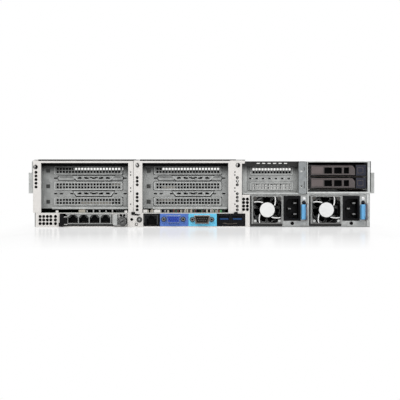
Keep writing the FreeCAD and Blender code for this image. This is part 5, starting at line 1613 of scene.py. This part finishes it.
# ------------------------------------------------------------------ lid, riser strap and front
class SERVER_OT_outside(bpy.types.Operator):
    """Makes the painted shadow along the lid's rear edge and under it, the rails' ends, the low riser's
    strap and the front drives' trim.
    """
    bl_idname = "server.outside"
    bl_label = "Lid and Front"

    def execute(self, context):
        self.hem()
        self.rails()
        self.strap()
        self.front()
        return {"FINISHED"}

    def hem(self):
        """The lid's rear edge in near-black in its two lengths, and a dark strip under it, both painted
        shadow of the gap between lid and frame.
        """
        mesh = bmesh.new()
        z = (high("top_cover").z - 1.2, high("top_cover").z - 0.02)
        # Near-black along the lid's rear edge: painted shadow.
        for span in ((-210.6, -84.5), (-79.5, 44.3)):
            box(mesh, span, (low("top_cover").y - 0.06, low("top_cover").y + 0.2), z)
        piece("lid_edge_shadow", mesh, "line", body="cover", edge=0)
        gap = bmesh.new()
        # Dark strip on top of the white frames: painted shadow under the lid.
        for span in ((-210.6, -87.5), (-79.5, 37.0)):
            box(gap, span, deep(-0.04, 0.2), (85.55, FRAME_TOP))
        piece("lid_gap_shadow", gap, "band", edge=0)

    def rails(self):
        """The folded ends of the slide rails, with a fin over the left, and a near-black strip of painted
        shade in the gap by the right.
        """
        a, b = low("inner_rails"), high("inner_rails")
        depth = (a.y - 0.2, a.y + 1.0)
        tall = (43.7, 70.5)
        left_edge = -HALF_WIDTH - 1.0
        right_edge = b.x - 4.5
        left = bmesh.new()
        plate(left, rounded((-b.x, left_edge), tall, 0.8), depth)
        box(left, (left_edge - 1.3, left_edge - 0.1), depth, (tall[1], 85.0))
        piece("rail_end_left", left, "bright zinc", edge=0.3)
        right = bmesh.new()
        plate(right, rounded((right_edge, b.x), tall, 0.8), depth)
        piece("rail_end_right", right, "zinc", edge=0.3)
        # Near-black strip in the gap by the right rail: painted shade.
        gap = bmesh.new()
        box(gap, (HALF_WIDTH + 0.1, right_edge), depth, (47.0, 85.2))
        piece("rail_gap_shadow_right", gap, "line", edge=0)

    def strap(self):
        """The rounded strap beside the low riser, with its holes, two dark vertical marks and a dark
        outline, and the light flange.
        """
        right = WINDOW_3[1]
        mesh = bmesh.new()
        holes = [ring_points(right + 3.2, z, 1.4, 20) for z in (52.4, 72.4)]
        plate(mesh, rounded((right - 0.6, right + 9.6), (42.9, 84.6), 2.2), deep(-0.4, 0.6), holes)
        piece("riser_strap", mesh, "strap")
        groove = bmesh.new()
        for z, tall in ((75.4, 4.6), (54.6, 9.4)):
            box(groove, around(right + 6.6, 0.9), deep(-0.45, 0.2), around(z, tall))
        ring(groove, rounded((right - 1.1, right + 10.1), (42.9, 85.0), 2.6),
             rounded((right - 0.5, right + 9.5), (43.0, 84.5), 2.1), deep(-0.1, 0.5))
        piece("riser_strap_line", groove, "shade", edge=0)
        flange = bmesh.new()
        box(flange, (WINDOW_3[0] + 1.0, WINDOW_3[1] - 1.5), deep(0.05, 0.4), (42.9, 44.4))
        piece("low_riser_flange", flange, "bright zinc", edge=0.15)

    def front(self):
        """Perforated grilles, blue release tabs and two lamps on each front carrier."""
        for number in range(1, 9):
            node = "front_drive_%d" % number
            a, b = low(node), high(node)
            centre = ((a.x + b.x) / 2, (a.z + b.z) / 2)
            face = FRONT + 2.0
            mesh = bmesh.new()
            holes = [ring_points(centre[0] - 45.5 + 4.6 * i + (2.3 if row % 2 else 0),
                                 centre[1] + (row - 0.5) * 3.6, 1.5, 6, math.pi / 6)
                     for i in range(17) for row in (0, 1)]
            outline = rounded((centre[0] - 48.4, centre[0] + 32.4), around(centre[1], 8.4), 1.0)
            plate(mesh, outline, (face - 1.0, face - 0.2), holes)
            body = "front_bay_%d" % number
            piece("front_grille_%d" % number, mesh, "lever", body=body, edge=0)
            tab = bmesh.new()
            plate(tab, rounded(around(centre[0] + 43.0, 10.4), around(centre[1] - 1.0, 5.4), 1.0),
                  (face + 0.9, face + 1.25))
            piece("front_release_%d" % number, tab, "latch", body=body, edge=0.15)
            lamps = bmesh.new()
            for side in (-1, 1):
                drum(lamps, centre[0] + 43.0 + side * 2.2, centre[1] + 3.2, 0.8,
                     (face + 0.9, face + 1.2), 14)
            piece("front_lamps_%d" % number, lamps, "hub", body=body, edge=0,
                  smooth=True)


# ------------------------------------------------------------------ panel in the sidebar
STEPS = [SERVER_OT_stage, SERVER_OT_finishes, SERVER_OT_slots, SERVER_OT_hardware, SERVER_OT_strip,
         SERVER_OT_ports, SERVER_OT_network, SERVER_OT_supplies, SERVER_OT_bays, SERVER_OT_outside]
GROUP_CLASSES = [ServerColours, ServerSizes, StageSettings]


class SERVER_PT_panel(bpy.types.Panel):
    """Lists the settings and the steps."""
    bl_idname = "SERVER_PT_panel"
    bl_label = "Rack Server"
    bl_space_type = "VIEW_3D"
    bl_region_type = "UI"
    bl_category = "Rack Server"

    def draw(self, context):
        for settings in (context.scene.server_colours, context.scene.server_sizes,
                         context.scene.server_stage):
            for name in type(settings).__annotations__:
                self.layout.prop(settings, name)
        for step in STEPS:
            self.layout.operator(step.bl_idname)


def register():
    """Adds the classes and the settings to Blender."""
    for part in GROUP_CLASSES + STEPS + [SERVER_PT_panel]:
        bpy.utils.register_class(part)
    bpy.types.Scene.server_colours = PointerProperty(type=ServerColours)
    bpy.types.Scene.server_sizes = PointerProperty(type=ServerSizes)
    bpy.types.Scene.server_stage = PointerProperty(type=StageSettings)


def unregister():
    """Takes them away again."""
    del bpy.types.Scene.server_stage
    del bpy.types.Scene.server_sizes
    del bpy.types.Scene.server_colours
    for part in reversed(GROUP_CLASSES + STEPS + [SERVER_PT_panel]):
        bpy.utils.unregister_class(part)


def main():
    """Builds everything."""
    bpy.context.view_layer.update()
    register()
    for step in STEPS:
        group, name = step.bl_idname.split(".")
        getattr(getattr(bpy.ops, group), name)()


if __name__ == "__main__":
    main()
